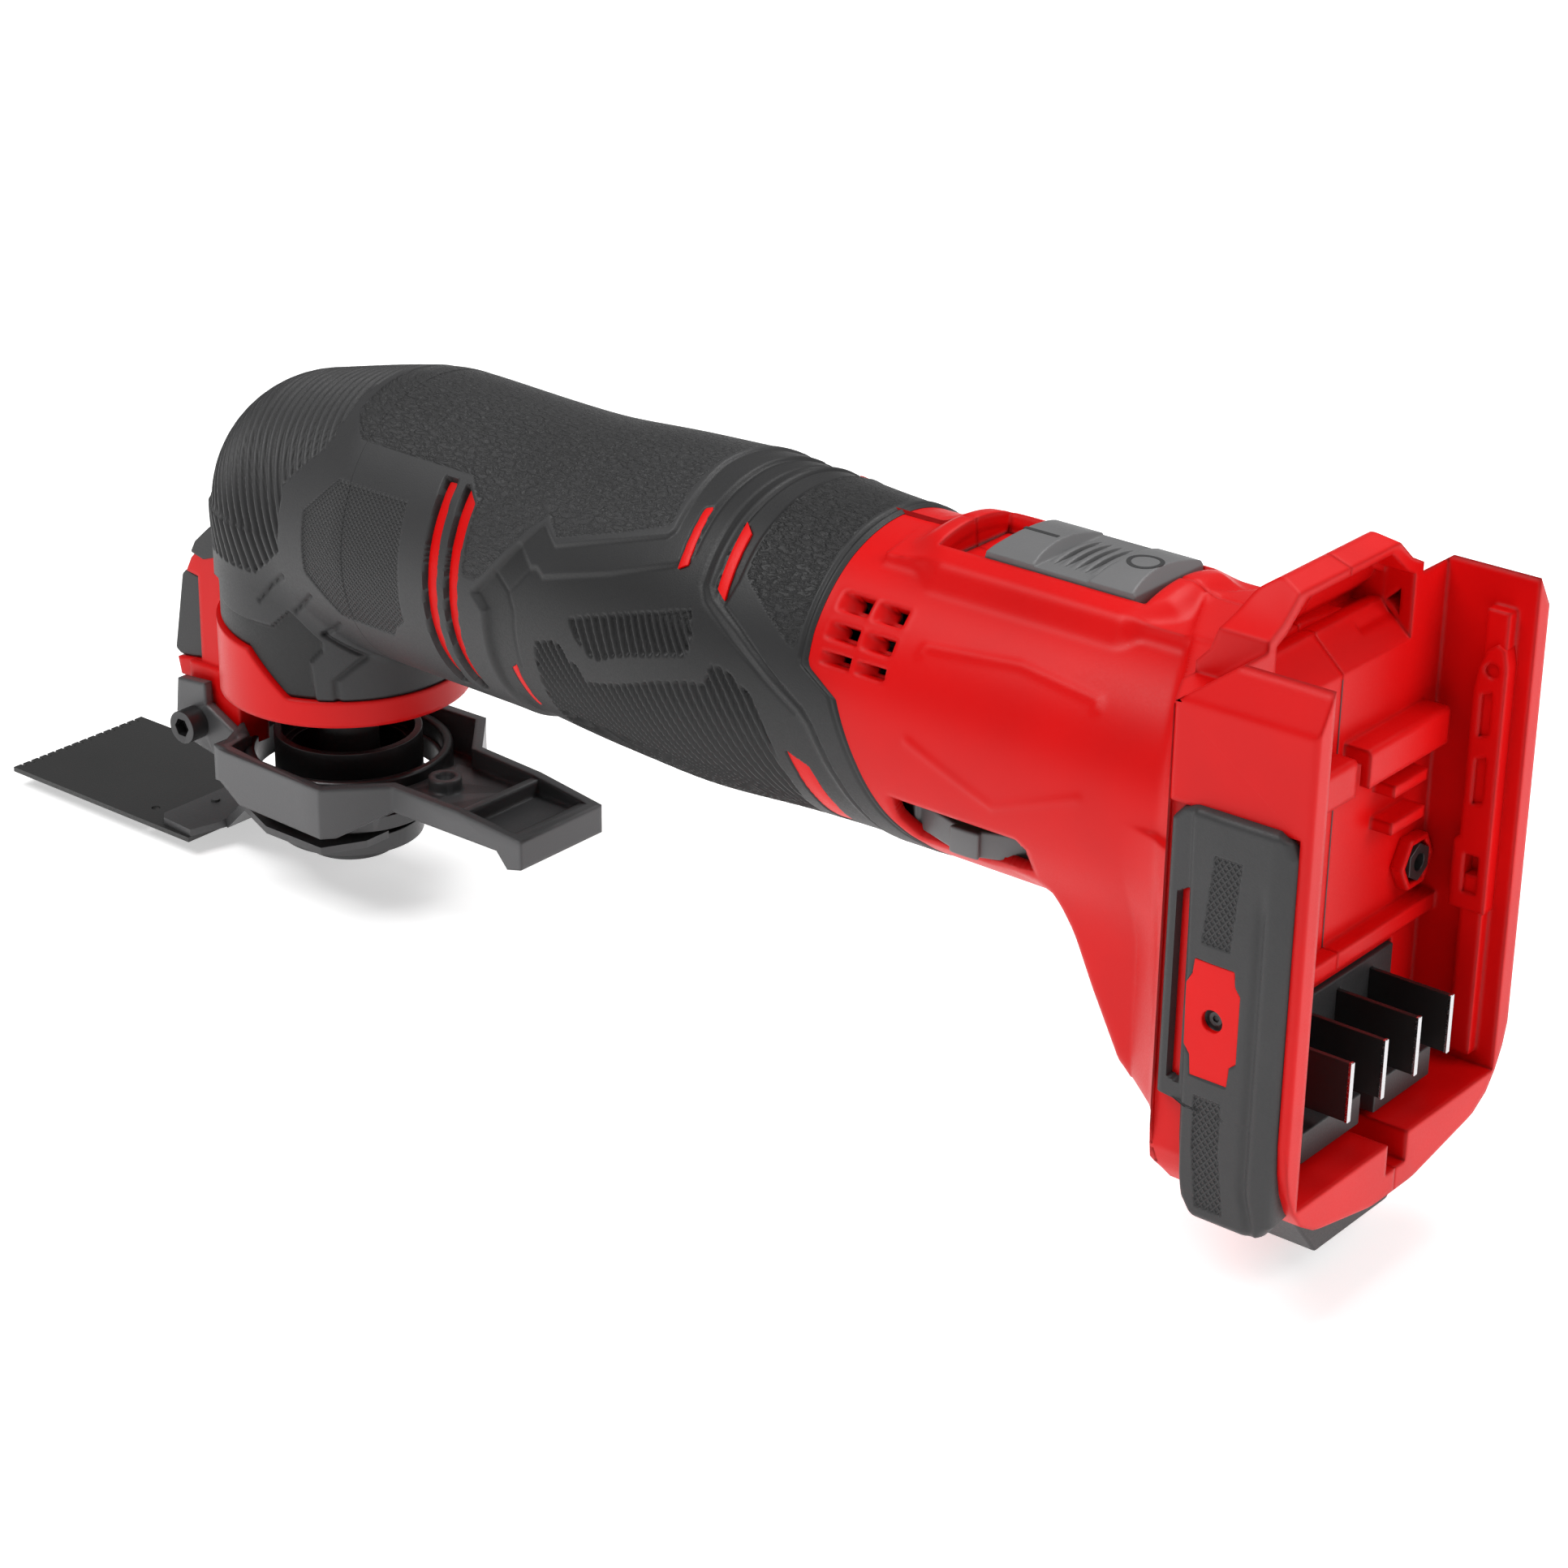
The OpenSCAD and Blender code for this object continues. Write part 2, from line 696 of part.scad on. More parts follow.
// Torsion spring between the nose and the lever
module lever_spring() {
    color(steel) {
        for (i = [0:5]) translate([-pivot_x, -2.75 + i * 1.1, pivot_z]) rotate([90, 0, 0])
            rotate_extrude($fn = 32) translate([2.6, 0]) circle(r = 0.45, $fn = 14);
        round_y(-pivot_x, pivot_z, -9.3, 9.3, 1.6);
        block(-pivot_x + 2.2, -pivot_x + 3, -3, 3, pivot_z - 0.4, pivot_z + 0.4);
    }
}

// ---------- switch and dial ----------

slider_x0 = 157;
slider_x1 = 187;
slider_half = 9.6;

// Slider with a thumb ramp in front, ribs across its middle and a rear block
module switch_slider() {
    color(grey) {
        intersection() {
            round_x(slider_x0, slider_x1, deck_r + 0.8);
            block(slider_x0, slider_x1, -slider_half, slider_half, 90.4, 97);
            union() {
                side_plate([[slider_x0, 90], [slider_x0 + 1.2, 95], [slider_x0 + 2.6, 97], [165.6, 97],
                            [167.6, 94.3], [178, 94.3], [179, 97], [184.6, 97], [slider_x1, 94],
                            [slider_x1, 90]], 20);
                intersection() {
                    round_x(166, 178, deck_r - 0.2);
                    for (i = [0:4]) block(168.4 + i * 2, 169.4 + i * 2, -14, 14, 90, 97);
                }
            }
        }
        block(170, 176, -2.6, 2.6, 85.6, 90.6);
    }
}

module switch_link() { color([0.8, 0.8, 0.75]) block(166, 178, -5, 5, 83.1, 85.6); }

module switch_body() {
    color([0.15, 0.15, 0.15]) {
        block(158.6, 186, -8, 8, 70, 82.6);
        for (x = [162, 172, 182]) block(x - 0.4, x + 0.4, -3, 3, 66, 70.1);
    }
}

module speed_dial() {
    color(grey) {
        difference() {
            round_z(dial_z0, dial_z1, dial_lug_r, dial_x);
            for (i = [0:8]) translate([dial_x, 0, 0]) rotate([0, 0, i * 40 + 12])
                block(dial_r, dial_lug_r + 2, -4.8, 4.8, 40, 55);
        }
        round_z(51, 55.5, 2, dial_x);
    }
}

module dial_sensor() { color([0.1, 0.2, 0.5]) ring_z(52.6, 56, 5, 2 + run, dial_x); }

module control_board() {
    color("seagreen") block(147, 203, -17, 17, 56, 57.6);
    color([0.1, 0.1, 0.1]) {
        round_z(57.5, 68, 4, 163, 12);
        block(188, 196, -14, -6, 57.5, 60);
        block(188, 196, 6, 14, 57.5, 60);
    }
}

module heat_sink() {
    color("silver") {
        block(178, 186, -14, 14, 57.6, 59.2);
        for (i = [0:5]) block(178, 186, -13.5 + i * 5.2, -12.5 + i * 5.2, 59, 64.5);
    }
}

module battery_wires() {
    color([0.1, 0.1, 0.1]) for (y = [-5, 5]) {
        round_z(24, 56, 1.3, 205, y);
        translate([205, y, 25.3]) rotate([0, 90, 0]) cylinder(r = 1.3, h = 7);
    }
}

// From the motor's end cap past the fan to the board
module motor_wires() {
    color([0.6, 0.1, 0.1]) for (y = [-20.6, 20.6]) {
        round_x_at(120, 151, y, 6.4, 1.1);
        round_y(121.1, axis_z + 6.4, min(y, y * 0.78), max(y, y * 0.78), 1.0);
        round_y(149.9, axis_z + 6.4, min(y, y * 0.7), max(y, y * 0.7), 1.0);
        round_z(57.6, axis_z + 7, 0.9, 149.9, y * 0.76);
    }
}

// ---------- battery foot ----------

module terminal_block() {
    color([0.12, 0.12, 0.12]) difference() {
        union() {
            block(212, dock_x + 0.8, -21.6, 21.6, 12.8, 33);
            for (s = [-1, 1]) block(dock_x, 230, min(s * 2.2, s * 19.5), max(s * 2.2, s * 19.5), 12.8, 18.4);
        }
        for (i = [-1.5:1:1.5]) block(213, 225, i * terminal_pitch - 0.46, i * terminal_pitch + 0.46, 20.6, 30.9);
    }
}

module terminals() {
    color(steel) for (i = [-1.5:1:1.5])
        block(213, 235.3, i * terminal_pitch - 0.45, i * terminal_pitch + 0.45, 20.6, 30.9);
}

// Side outline of a bumper, as [x, z]
bumper_side = [[211.4, 71.5], [216, 75], [229.5, 75], [233.4, 70], [234, 16], [231.5, 6.4], [221.5, 6.4],
               [216, 13], [211.4, 24]];

module bumper(s) {
    difference() {
        rotate([90, 0, 0]) translate([0, 0, -s * (foot_half + 0.4) - 1.6])
            linear_extrude(height = 3.2) polygon(bumper_side);
        rotate([90, 0, 0]) translate([0, 0, -s * (foot_half + 0.4) - 3])
            linear_extrude(height = 6) polygon([[217, 33], [227, 33], [227, 51], [217, 51]]);
        block(213.4, 215.4, -60, 60, 26, 61);
    }
}

module inlay(s) {
    difference() {
        rotate([90, 0, 0]) translate([0, 0, -s * (foot_half + 0.3) - 1.5])
            linear_extrude(height = 3) polygon([[217.1, 33.1], [226.9, 33.1], [226.9, 50.9], [217.1, 50.9]]);
        round_y(222, 42, -60, 60, 1.6);
        round_y(222, 42, s < 0 ? -60 : foot_half + 0.2, s < 0 ? -foot_half - 0.2 : 60, 2.6);
    }
}

module left_bumper() { color(rubber) bumper(-1); }
module right_bumper() { color(rubber) bumper(1); }
module left_inlay() { color(red) inlay(-1); }
module right_inlay() { color(red) inlay(1); }

module bumper_screws() {
    color(steel) for (s = [-1, 1]) {
        round_y(222, 42, min(s * 32.85, s * 34.2), max(s * 32.85, s * 34.2), 1.55);
        round_y(222, 42, min(s * 34.2, s * 35.3), max(s * 34.2, s * 35.3), 2.5);
    }
}

// Keel shaped pad under the foot
module foot_pad() {
    color(rubber) difference() {
        intersection() {
            cross_plate(both_sides([[23, 6], [11, rest_z]]), 211, 231);
            side_plate([[212, 20], [215.5, rest_z], [229, rest_z], [231, 20]], 40);
        }
        cross_plate(foot_outline(0), 200, 240);
    }
}

module housing_screws() {
    color(steel) for (s = screw_spots) {
        round_y(s[0], s[1], -8, 10.1, screw_r);
        round_y(s[0], s[1], 10, 12, 3);
    }
}

// Hex nuts with their screws on the wall of the dock
module dock_nuts() {
    color([0.1, 0.1, 0.1]) for (s = [-1, 1])
        translate([dock_x, s * 24.5, 47]) rotate([0, 90, 0]) difference() {
            cylinder(r = 3.4, h = 2.6, $fn = 6);
            translate([0, 0, 1]) cylinder(r = 1.5, h = 3, $fn = 24);
        }
}

left_housing();
right_housing();
head_shell();
head_cover();
left_grip_cover();
right_grip_cover();
nose_pad();
lamp_board();
lamp_lens();
gearcase();
gearcase_screws();
lower_bearing();
upper_bearing();
motor_can();
motor_magnets();
motor_end_cap();
carbon_brushes();
motor_front_bearing();
motor_rear_bearing();
rotor_shaft();
armature();
commutator();
cooling_fan();
counterweight();
eccentric_pin();
eccentric_bearing();
spindle();
swing_fork();
tool_holder();
clamp_stem();
clamp_spring();
clamp_flange();
blade();
blade_shank();
shank_rivets();
release_lever();
lever_screws();
lever_spring();
switch_slider();
switch_link();
switch_body();
speed_dial();
dial_sensor();
control_board();
heat_sink();
battery_wires();
motor_wires();
terminal_block();
terminals();
left_bumper();
right_bumper();
left_inlay();
right_inlay();
bumper_screws();
foot_pad();
housing_screws();
dock_nuts();
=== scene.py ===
"""Cordless oscillating multi-tool: the looks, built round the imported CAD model."""

import json
import math

import bmesh
import bpy
import numpy as np
from mathutils import Matrix, Vector


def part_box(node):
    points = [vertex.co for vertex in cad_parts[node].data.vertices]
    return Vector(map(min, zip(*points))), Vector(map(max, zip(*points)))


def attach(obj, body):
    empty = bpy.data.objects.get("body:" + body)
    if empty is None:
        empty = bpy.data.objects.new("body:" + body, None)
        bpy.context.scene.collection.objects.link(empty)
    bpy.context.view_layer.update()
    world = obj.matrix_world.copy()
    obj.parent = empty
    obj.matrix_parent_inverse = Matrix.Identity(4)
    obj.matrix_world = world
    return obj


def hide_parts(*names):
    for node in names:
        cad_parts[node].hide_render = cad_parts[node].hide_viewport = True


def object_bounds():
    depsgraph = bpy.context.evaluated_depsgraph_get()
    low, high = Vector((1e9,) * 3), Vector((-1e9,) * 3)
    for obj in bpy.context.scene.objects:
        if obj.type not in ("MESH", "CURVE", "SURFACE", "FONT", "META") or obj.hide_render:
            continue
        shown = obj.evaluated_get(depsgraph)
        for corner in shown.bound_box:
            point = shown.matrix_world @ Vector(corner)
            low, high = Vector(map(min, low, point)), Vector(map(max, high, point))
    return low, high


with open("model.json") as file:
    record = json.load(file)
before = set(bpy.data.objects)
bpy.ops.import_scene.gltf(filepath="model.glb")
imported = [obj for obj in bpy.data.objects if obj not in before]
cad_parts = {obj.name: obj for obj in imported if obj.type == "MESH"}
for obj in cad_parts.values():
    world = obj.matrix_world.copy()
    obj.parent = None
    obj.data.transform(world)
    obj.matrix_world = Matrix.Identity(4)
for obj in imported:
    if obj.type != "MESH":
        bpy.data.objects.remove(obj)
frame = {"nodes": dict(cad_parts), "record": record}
cad_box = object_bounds()

MM = 0.001
AXIS = 65.2  # height of the grip axis
DEG = 0.49  # millimetres of surface for each degree round the grip

# ---------- materials ----------


def socket(node, name, value):
    node.inputs[name].default_value = value


def link(tree, a, out, b, inp):
    tree.links.new(a.outputs[out], b.inputs[inp])


def noise(tree, coords, scale, detail=3.0, distortion=0.0, out="Object"):
    n = tree.nodes.new("ShaderNodeTexNoise")
    socket(n, "Scale", scale)
    socket(n, "Detail", detail)
    socket(n, "Distortion", distortion)
    link(tree, coords, out, n, "Vector")
    return n


def remap(tree, source, out, low, high, lo_in=0.3, hi_in=0.7):
    n = tree.nodes.new("ShaderNodeMapRange")
    socket(n, "From Min", lo_in)
    socket(n, "From Max", hi_in)
    socket(n, "To Min", low)
    socket(n, "To Max", high)
    link(tree, source, out, n, "Value")
    return n


def math_node(tree, op, a, b=None):
    n = tree.nodes.new("ShaderNodeMath")
    n.operation = op
    for i, v in enumerate((a, b)):
        if v is None:
            continue
        if isinstance(v, (int, float)):
            n.inputs[i].default_value = v
        else:
            tree.links.new(v, n.inputs[i])
    return n.outputs[0]


DRIFT_SCALE = 45  # of the slow colour drift
FINE_BUMP = 0.2
RUBBER_BUMP = 0.22
GRAIN_SCALE = 620
GRAIN_LEAN = 28  # degrees that the wrinkles lean by
KNURL_PITCH = 1.15
# the deepest part of a groove is darkened partly for dust and partly as painted shade
DUST_AND_PAINTED_SHADE = 0.25  # how much of its colour the deepest part of a groove keeps


def surface(name, colour, rough, metal=0.0, tone=0.06, fine=2500, bump=0.05, rough_var=0.05, wear_and_highlight=0.0,
            shine=0.5, corner=0.0):
    """A moulded or machined finish: slow colour drift, fine bump, and roughness that varies a little.

    tone is the depth of the drift, fine the scale of the small noise, wear how far sharp edges are lightened
    in colour, partly as worn edges and partly as a painted highlight, shine the specular level, and corner
    the radius in millimetres at which edges catch the light.
    """
    m = bpy.data.materials.new(name)
    m.use_nodes = True
    tree = m.node_tree
    b = tree.nodes["Principled BSDF"]
    socket(b, "Metallic", metal)
    socket(b, "Specular IOR Level", shine)
    coords = tree.nodes.new("ShaderNodeTexCoord")
    slow = noise(tree, coords, DRIFT_SCALE, 4)
    ramp = tree.nodes.new("ShaderNodeValToRGB")
    ramp.color_ramp.elements[0].position, ramp.color_ramp.elements[1].position = 0.3, 0.7
    for e, k in zip(ramp.color_ramp.elements, (1 - tone, 1 + tone)):
        e.color = (*[min(1.0, c * k) for c in colour], 1)
    link(tree, slow, "Fac", ramp, "Fac")
    colour_out = ramp.outputs["Color"]
    # sharp edges are lightened in the base colour, partly as worn edges and partly as a painted highlight
    if wear_and_highlight:
        geo = tree.nodes.new("ShaderNodeNewGeometry")
        edge = remap(tree, geo, "Pointiness", 0.0, wear_and_highlight, 0.51, 0.56)
        mix = tree.nodes.new("ShaderNodeMix")
        mix.data_type = "RGBA"
        tree.links.new(edge.outputs["Result"], mix.inputs["Factor"])
        tree.links.new(colour_out, mix.inputs["A"])
        mix.inputs["B"].default_value = (*[min(1.0, c * 2.2 + 0.03) for c in colour], 1)
        colour_out = mix.outputs["Result"]
    tree.links.new(colour_out, b.inputs["Base Color"])
    small = noise(tree, coords, fine, 2)
    r = remap(tree, small, "Fac", rough - rough_var, rough + rough_var)
    link(tree, r, "Result", b, "Roughness")
    if bump:
        bn = tree.nodes.new("ShaderNodeBump")
        socket(bn, "Strength", bump)
        socket(bn, "Distance", FINE_BUMP * MM)
        link(tree, small, "Fac", bn, "Height")
        link(tree, bn, "Normal", b, "Normal")
        if corner:
            # moulded edges catch the light over a little more than their real radius
            soft = tree.nodes.new("ShaderNodeBevel")
            soft.samples = 6
            soft.inputs["Radius"].default_value = corner * MM
            link(tree, soft, "Normal", bn, "Normal")
    return m


def rubber_surface(name, colour, rough):
    """Soft moulding; the mesh's zone attribute says where it has leather grain (red), a cross-hatched
    knurl (green) and grooves darkened with a little dust and painted shade (blue)."""
    m = surface(name, colour, rough, tone=0.1, bump=0.0)
    tree = m.node_tree
    b = tree.nodes["Principled BSDF"]
    coords = next(n for n in tree.nodes if n.type == "TEX_COORD")
    zone = tree.nodes.new("ShaderNodeAttribute")
    zone.attribute_name = "zone"
    split = tree.nodes.new("ShaderNodeSeparateColor")
    link(tree, zone, "Color", split, "Color")
    flat = tree.nodes.new("ShaderNodeAttribute")
    flat.attribute_name = "flat"
    at = tree.nodes.new("ShaderNodeSeparateXYZ")
    link(tree, flat, "Vector", at, "Vector")
    # leather grain: short wrinkles that lean one way
    turn = tree.nodes.new("ShaderNodeMapping")
    turn.inputs["Rotation"].default_value = (0, 0, math.radians(GRAIN_LEAN))
    turn.inputs["Scale"].default_value = (1.0, 2.3, 1.0)
    link(tree, flat, "Vector", turn, "Vector")
    grain = noise(tree, turn, GRAIN_SCALE, 3, 0.6, "Vector")
    grain_h = remap(tree, grain, "Fac", 0, 1.7, 0.36, 0.6)
    # knurl: two sets of crossing ridges
    k = 2 * math.pi / (KNURL_PITCH * MM)
    both = []
    for op in ("ADD", "SUBTRACT"):
        d = math_node(tree, op, at.outputs["X"], at.outputs["Y"])
        both.append(math_node(tree, "SINE", math_node(tree, "MULTIPLY", d, k)))
    knurl = math_node(tree, "MAXIMUM", *both)
    h = math_node(tree, "MULTIPLY", grain_h.outputs["Result"], split.outputs["Red"])
    h2 = math_node(tree, "MULTIPLY", math_node(tree, "MULTIPLY", knurl, 0.9), split.outputs["Green"])
    fine = noise(tree, coords, 3500, 2)
    h3 = math_node(tree, "MULTIPLY", fine.outputs["Fac"], 0.12)
    # grooves are darkened in the base colour, partly for a little dust and partly as painted shade where
    # less light reaches
    shade = tree.nodes.new("ShaderNodeMix")
    shade.data_type = "RGBA"
    shade.blend_type = "MULTIPLY"
    plain = b.inputs["Base Color"].links[0].from_socket
    tree.links.new(math_node(tree, "MULTIPLY", split.outputs["Blue"], 0.75), shade.inputs["Factor"])
    tree.links.new(plain, shade.inputs["A"])
    shade.inputs["B"].default_value = (DUST_AND_PAINTED_SHADE, DUST_AND_PAINTED_SHADE, DUST_AND_PAINTED_SHADE, 1)
    tree.links.new(shade.outputs["Result"], b.inputs["Base Color"])
    socket(b, "Specular IOR Level", 0.38)
    total = math_node(tree, "ADD", math_node(tree, "ADD", h, h2), h3)
    bn = tree.nodes.new("ShaderNodeBump")
    socket(bn, "Strength", 1.0)
    socket(bn, "Distance", RUBBER_BUMP * MM)
    tree.links.new(total, bn.inputs["Height"])
    link(tree, bn, "Normal", b, "Normal")
    return m


RED = (0.62, 0.0022, 0.0025)
LOOKS = {
    "red_shell": surface("satin_red", RED, 0.38, fine=3200, bump=0.05, shine=0.2, corner=1.3),
    "grip_rubber": rubber_surface("soft_rubber", (0.033, 0.033, 0.034), 0.5),
    "red_inlay": surface("inlay_red", (0.68, 0.002, 0.002), 0.42, fine=2600, bump=0.06, shine=0.2),
    "grey_control": surface("grey_plastic", (0.13, 0.13, 0.132), 0.42, corner=0.6, bump=0.08),
    "lever_metal": surface("cast_grey", (0.06, 0.06, 0.062), 0.36, metal=0.2, bump=0.12, wear_and_highlight=0.35,
                           corner=1.2),
    "black_screw": surface("blackened_steel", (0.035, 0.035, 0.036), 0.38, metal=0.7, bump=0.05, wear_and_highlight=0.4),
    "holder_steel": surface("holder_dark", (0.05, 0.05, 0.051), 0.36, metal=0.8, bump=0.08, wear_and_highlight=0.4),
    "blade_steel": surface("blade_dark", (0.05, 0.05, 0.05), 0.42, metal=0.55, fine=1800, bump=0.08,
                           rough_var=0.09),
    "shank_steel": surface("shank_grey", (0.085, 0.085, 0.087), 0.46, metal=0.5, fine=1500, bump=0.2,
                           tone=0.16),
    "bare_steel": surface("bright_steel", (0.55, 0.55, 0.56), 0.25, metal=1.0, bump=0.04),
    "cast_case": surface("cast_alloy", (0.42, 0.42, 0.43), 0.5, metal=0.9, bump=0.2),
    "motor_steel": surface("motor_zinc", (0.35, 0.35, 0.36), 0.38, metal=0.9),
    "magnet": surface("ferrite", (0.05, 0.05, 0.055), 0.7),
    "copper": surface("copper_wire", (0.6, 0.26, 0.12), 0.35, metal=1.0, fine=5000, bump=0.2),
    "carbon": surface("carbon_block", (0.03, 0.03, 0.03), 0.7),
    "black_plastic": surface("black_nylon", (0.022, 0.022, 0.023), 0.45, bump=0.1),
    "white_plastic": surface("white_nylon", (0.75, 0.75, 0.73), 0.45),
    "blue_plastic": surface("blue_nylon", (0.03, 0.1, 0.4), 0.45),
    "circuit_board": surface("board_green", (0.02, 0.13, 0.05), 0.5, fine=1200, tone=0.2),
    "lens": surface("lens_clear", (0.85, 0.9, 0.95), 0.08, bump=0.0),
    "wire_black": surface("wire_jacket_black", (0.02, 0.02, 0.02), 0.5),
    "wire_red": surface("wire_jacket_red", (0.5, 0.01, 0.01), 0.5),
}


def finish(obj, slot):
    obj.data.materials.clear()
    obj.data.materials.append(LOOKS[slot])


def add_object(name, data):
    obj = bpy.data.objects.new(name, data)
    bpy.context.scene.collection.objects.link(obj)
    return obj


def add_piece(name, mesh, slot, body, node=None, edge=0.0):
    """Puts a mesh on a body, in place of a CAD node if one is named, with its edges rounded by edge mm."""
    obj = add_object(name, mesh)
    finish(obj, slot)
    if edge:
        soften(obj, edge)
    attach(obj, body)
    if node:
        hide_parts(node)


def closed_mesh(name, points, faces):
    """A mesh from points in metres, with its faces turned outward."""
    mesh = bpy.data.meshes.new(name)
    mesh.from_pydata(points, [], faces)
    bm = bmesh.new()
    bm.from_mesh(mesh)
    bmesh.ops.recalc_face_normals(bm, faces=bm.faces)
    bm.to_mesh(mesh)
    bm.free()
    return mesh


# ---------- CAD nodes that stay: finish, softened edges ----------


SAME_PLACE = 2e-6  # metres between points that are taken as one
FLAT_ANGLE = 1.5  # degrees between faces that are taken as one
EDGE_ANGLE = 28  # degrees from which an edge is rounded


def soften(obj, width):
    """Rounds an object's edges by modifiers, which leave its own mesh as it is."""
    weld = obj.modifiers.new("weld", "WELD")
    weld.merge_threshold = SAME_PLACE
    flat = obj.modifiers.new("flat", "DECIMATE")
    flat.decimate_type = "DISSOLVE"
    flat.angle_limit = math.radians(FLAT_ANGLE)
    bevel = obj.modifiers.new("edges", "BEVEL")
    bevel.width = width * MM
    bevel.segments = 2
    bevel.limit_method = "ANGLE"
    bevel.angle_limit = math.radians(EDGE_ANGLE)
    normals = obj.modifiers.new("normals", "WEIGHTED_NORMAL")
    normals.keep_sharp = False


SOFT_EDGES = {
    "lever_screws": 0.2, "tool_holder": 0.25, "clamp_flange": 0.3, "blade_shank": 0.15,
    "switch_slider": 0.35, "speed_dial": 0.4, "left_inlay": 0.25, "right_inlay": 0.25, "foot_pad": 0.7,
    "terminal_block": 0.3, "terminals": 0.12, "bumper_screws": 0.15, "dock_nuts": 0.15,
}
slot_of = {p["node"]: p["material_slot"] for p in frame["record"]["subparts"]}
BLADE_BLACK = surface("blade_coating", (0.012, 0.012, 0.012), 0.3, bump=0.0, rough_var=0.02)
for name, node in frame["nodes"].items():
    for i in range(len(node.material_slots)):
        node.material_slots[i].material = BLADE_BLACK if name == "terminals" else LOOKS[slot_of[name]]
    if name in SOFT_EDGES:
        soften(node, SOFT_EDGES[name])

# ---------- outlines on the grip, as [mm along the tool, degrees up from the side] ----------


def flat_outline(points):
    return [(x, a * DEG) for x, a in points]


def smooth(a, b, x):
    t = np.clip((x - a) / (b - a), 0, 1)
    return t * t * (3 - 2 * t)


def along(table, x):
    """Values at x between the points of a table of [place, value]."""
    return np.interp(x, [p[0] for p in table], [p[1] for p in table])


def near_line(points, x, y):
    """Distance to an open line of points."""
    d = np.full(x.shape, 1e9)
    for (ax, ay), (bx, by) in zip(points, points[1:]):
        ex, ey = bx - ax, by - ay
        t = np.clip(((x - ax) * ex + (y - ay) * ey) / (ex * ex + ey * ey), 0, 1)
        d = np.minimum(d, np.hypot(x - ax - ex * t, y - ay - ey * t))
    return d


def within(points, x, y):
    """Distance to a closed outline, positive inside it."""
    inside = np.zeros(x.shape, bool)
    closed = list(points) + [points[0]]
    for (ax, ay), (bx, by) in zip(closed, closed[1:]):
        if ay == by:
            continue
        crosses = (ay > y) != (by > y)
        inside ^= crosses & (x < ax + (y - ay) * (bx - ax) / (by - ay))
    d = near_line(closed, x, y)
    return np.where(inside, d, -d)


def raised(points, x, y, edge=0.5):
    """1 inside an outline and 0 outside, with a sloped edge of that width outside it."""
    return smooth(-edge, 0, within(points, x, y))


REAR_EDGE = [(-90, 156.5), (-60, 155.5), (-50, 154.3), (-45, 152.6), (-33, 150), (-12, 146.4), (0, 144),
             (9.5, 142), (17.5, 135.5), (20, 134.9), (30, 134.5), (60, 134.3), (90, 134.5)]
GRIP_PROFILE = [(20, 26.9), (26, 27.4), (45, 27.6), (64, 27.8), (81, 29.2), (94, 29.8), (104, 30.3),
                (113, 29.8), (125, 28.8), (140, 28.2), (158, 28)]
UPPER = flat_outline([(10, -100), (64, -100), (64, 0), (61.2, 5.5), (65.3, 15.5), (69.5, 27), (74, 37.5),
                      (78.3, 31), (92, 39.5), (100.5, 45), (101.3, 47.5), (100.6, 60), (99.3, 80),
                      (99.2, 100), (10, 100)])
LOWER = flat_outline([(64.2, -100), (64.2, 0), (61.4, 5.5), (65.4, 15.5), (69.8, 26.8), (73.5, 20),
                      (75, 20.5), (76.8, 18), (92, 26.5), (104.5, 35.5), (107, 39), (106.2, 60),
                      (105.8, 100), (160, 100), (160, -100)])
BEHIND = flat_outline([(113.2, 100), (113, 60), (113.4, 45), (114, 34), (115.4, 30.8), (120.8, 24),
                       (129, 12), (135.5, 3.5), (137.6, -1.5), (139.6, -10), (142, -22), (144.4, -37),
                       (146.5, -55), (148, -100), (170, -100), (170, 100)])
BEAD = flat_outline([(112, 100), (111.8, 60), (112.1, 45), (112.6, 33), (114, 29.3), (120, 21.8),
                     (128, 10.2), (134.4, 2), (136.5, -2.5), (138.5, -11), (141, -23), (143.4, -38),
                     (145.3, -55), (147, -100)])
VALLEY = flat_outline([(113.2, 100), (113, 60), (113.6, 42), (114.6, 32.5), (116.6, 29.8), (117.3, 38),
                       (116.9, 55), (116.6, 100)])
GRAIN = flat_outline([(21.5, 110), (21.5, 57), (25, 50), (26.8, 47), (54, 46.3), (55.5, 42.5),
                      (57.6, 38), (58.2, 11.2), (58.8, 10.2), (61.4, 10.2), (63, 12.8), (69.5, 29.5),
                      (74.4, 40.5), (78, 33.6), (92, 42), (100, 48.3), (100.3, 50), (99.3, 62),
                      (98.6, 80), (98.4, 110)])
GRAIN_REAR = flat_outline([(117.2, 110), (117.2, 70), (117.8, 55), (118.5, 41.3), (119.6, 39), (125, 31),
                           (130.5, 22.8), (132.2, 22.3), (132.4, 40), (131.8, 70), (131.6, 110)])
KNURL = [(16.8, 71.7), (25, 79), (42.5, 79), (42.8, 57), (40, 54.8), (38.5, 52.7), (25, 52.7), (17, 60)]
SLOT_FRONT = flat_outline([(48.3, 43.3), (51.3, 43.3), (51.9, 25), (52.3, 0), (52.3, -25), (52.7, -44),
                           (51.5, -46.5), (50, -46.5), (49.2, -25), (49, 0), (48.7, 25)])
SLOT_BACK = flat_outline([(53.5, 42.8), (54.2, 42.3), (57, 36.6), (57.3, 0), (57.3, -25), (58, -41),
                          (56.4, -46.5), (55, -46.5), (54.4, -25), (54.2, 0), (53.9, 25)])
POCKET = flat_outline([(130.8, -16.5), (135, -21), (136.3, -30), (137.2, -40), (137.3, -56), (133.8, -58),
                       (133.2, -40), (132.1, -26)])
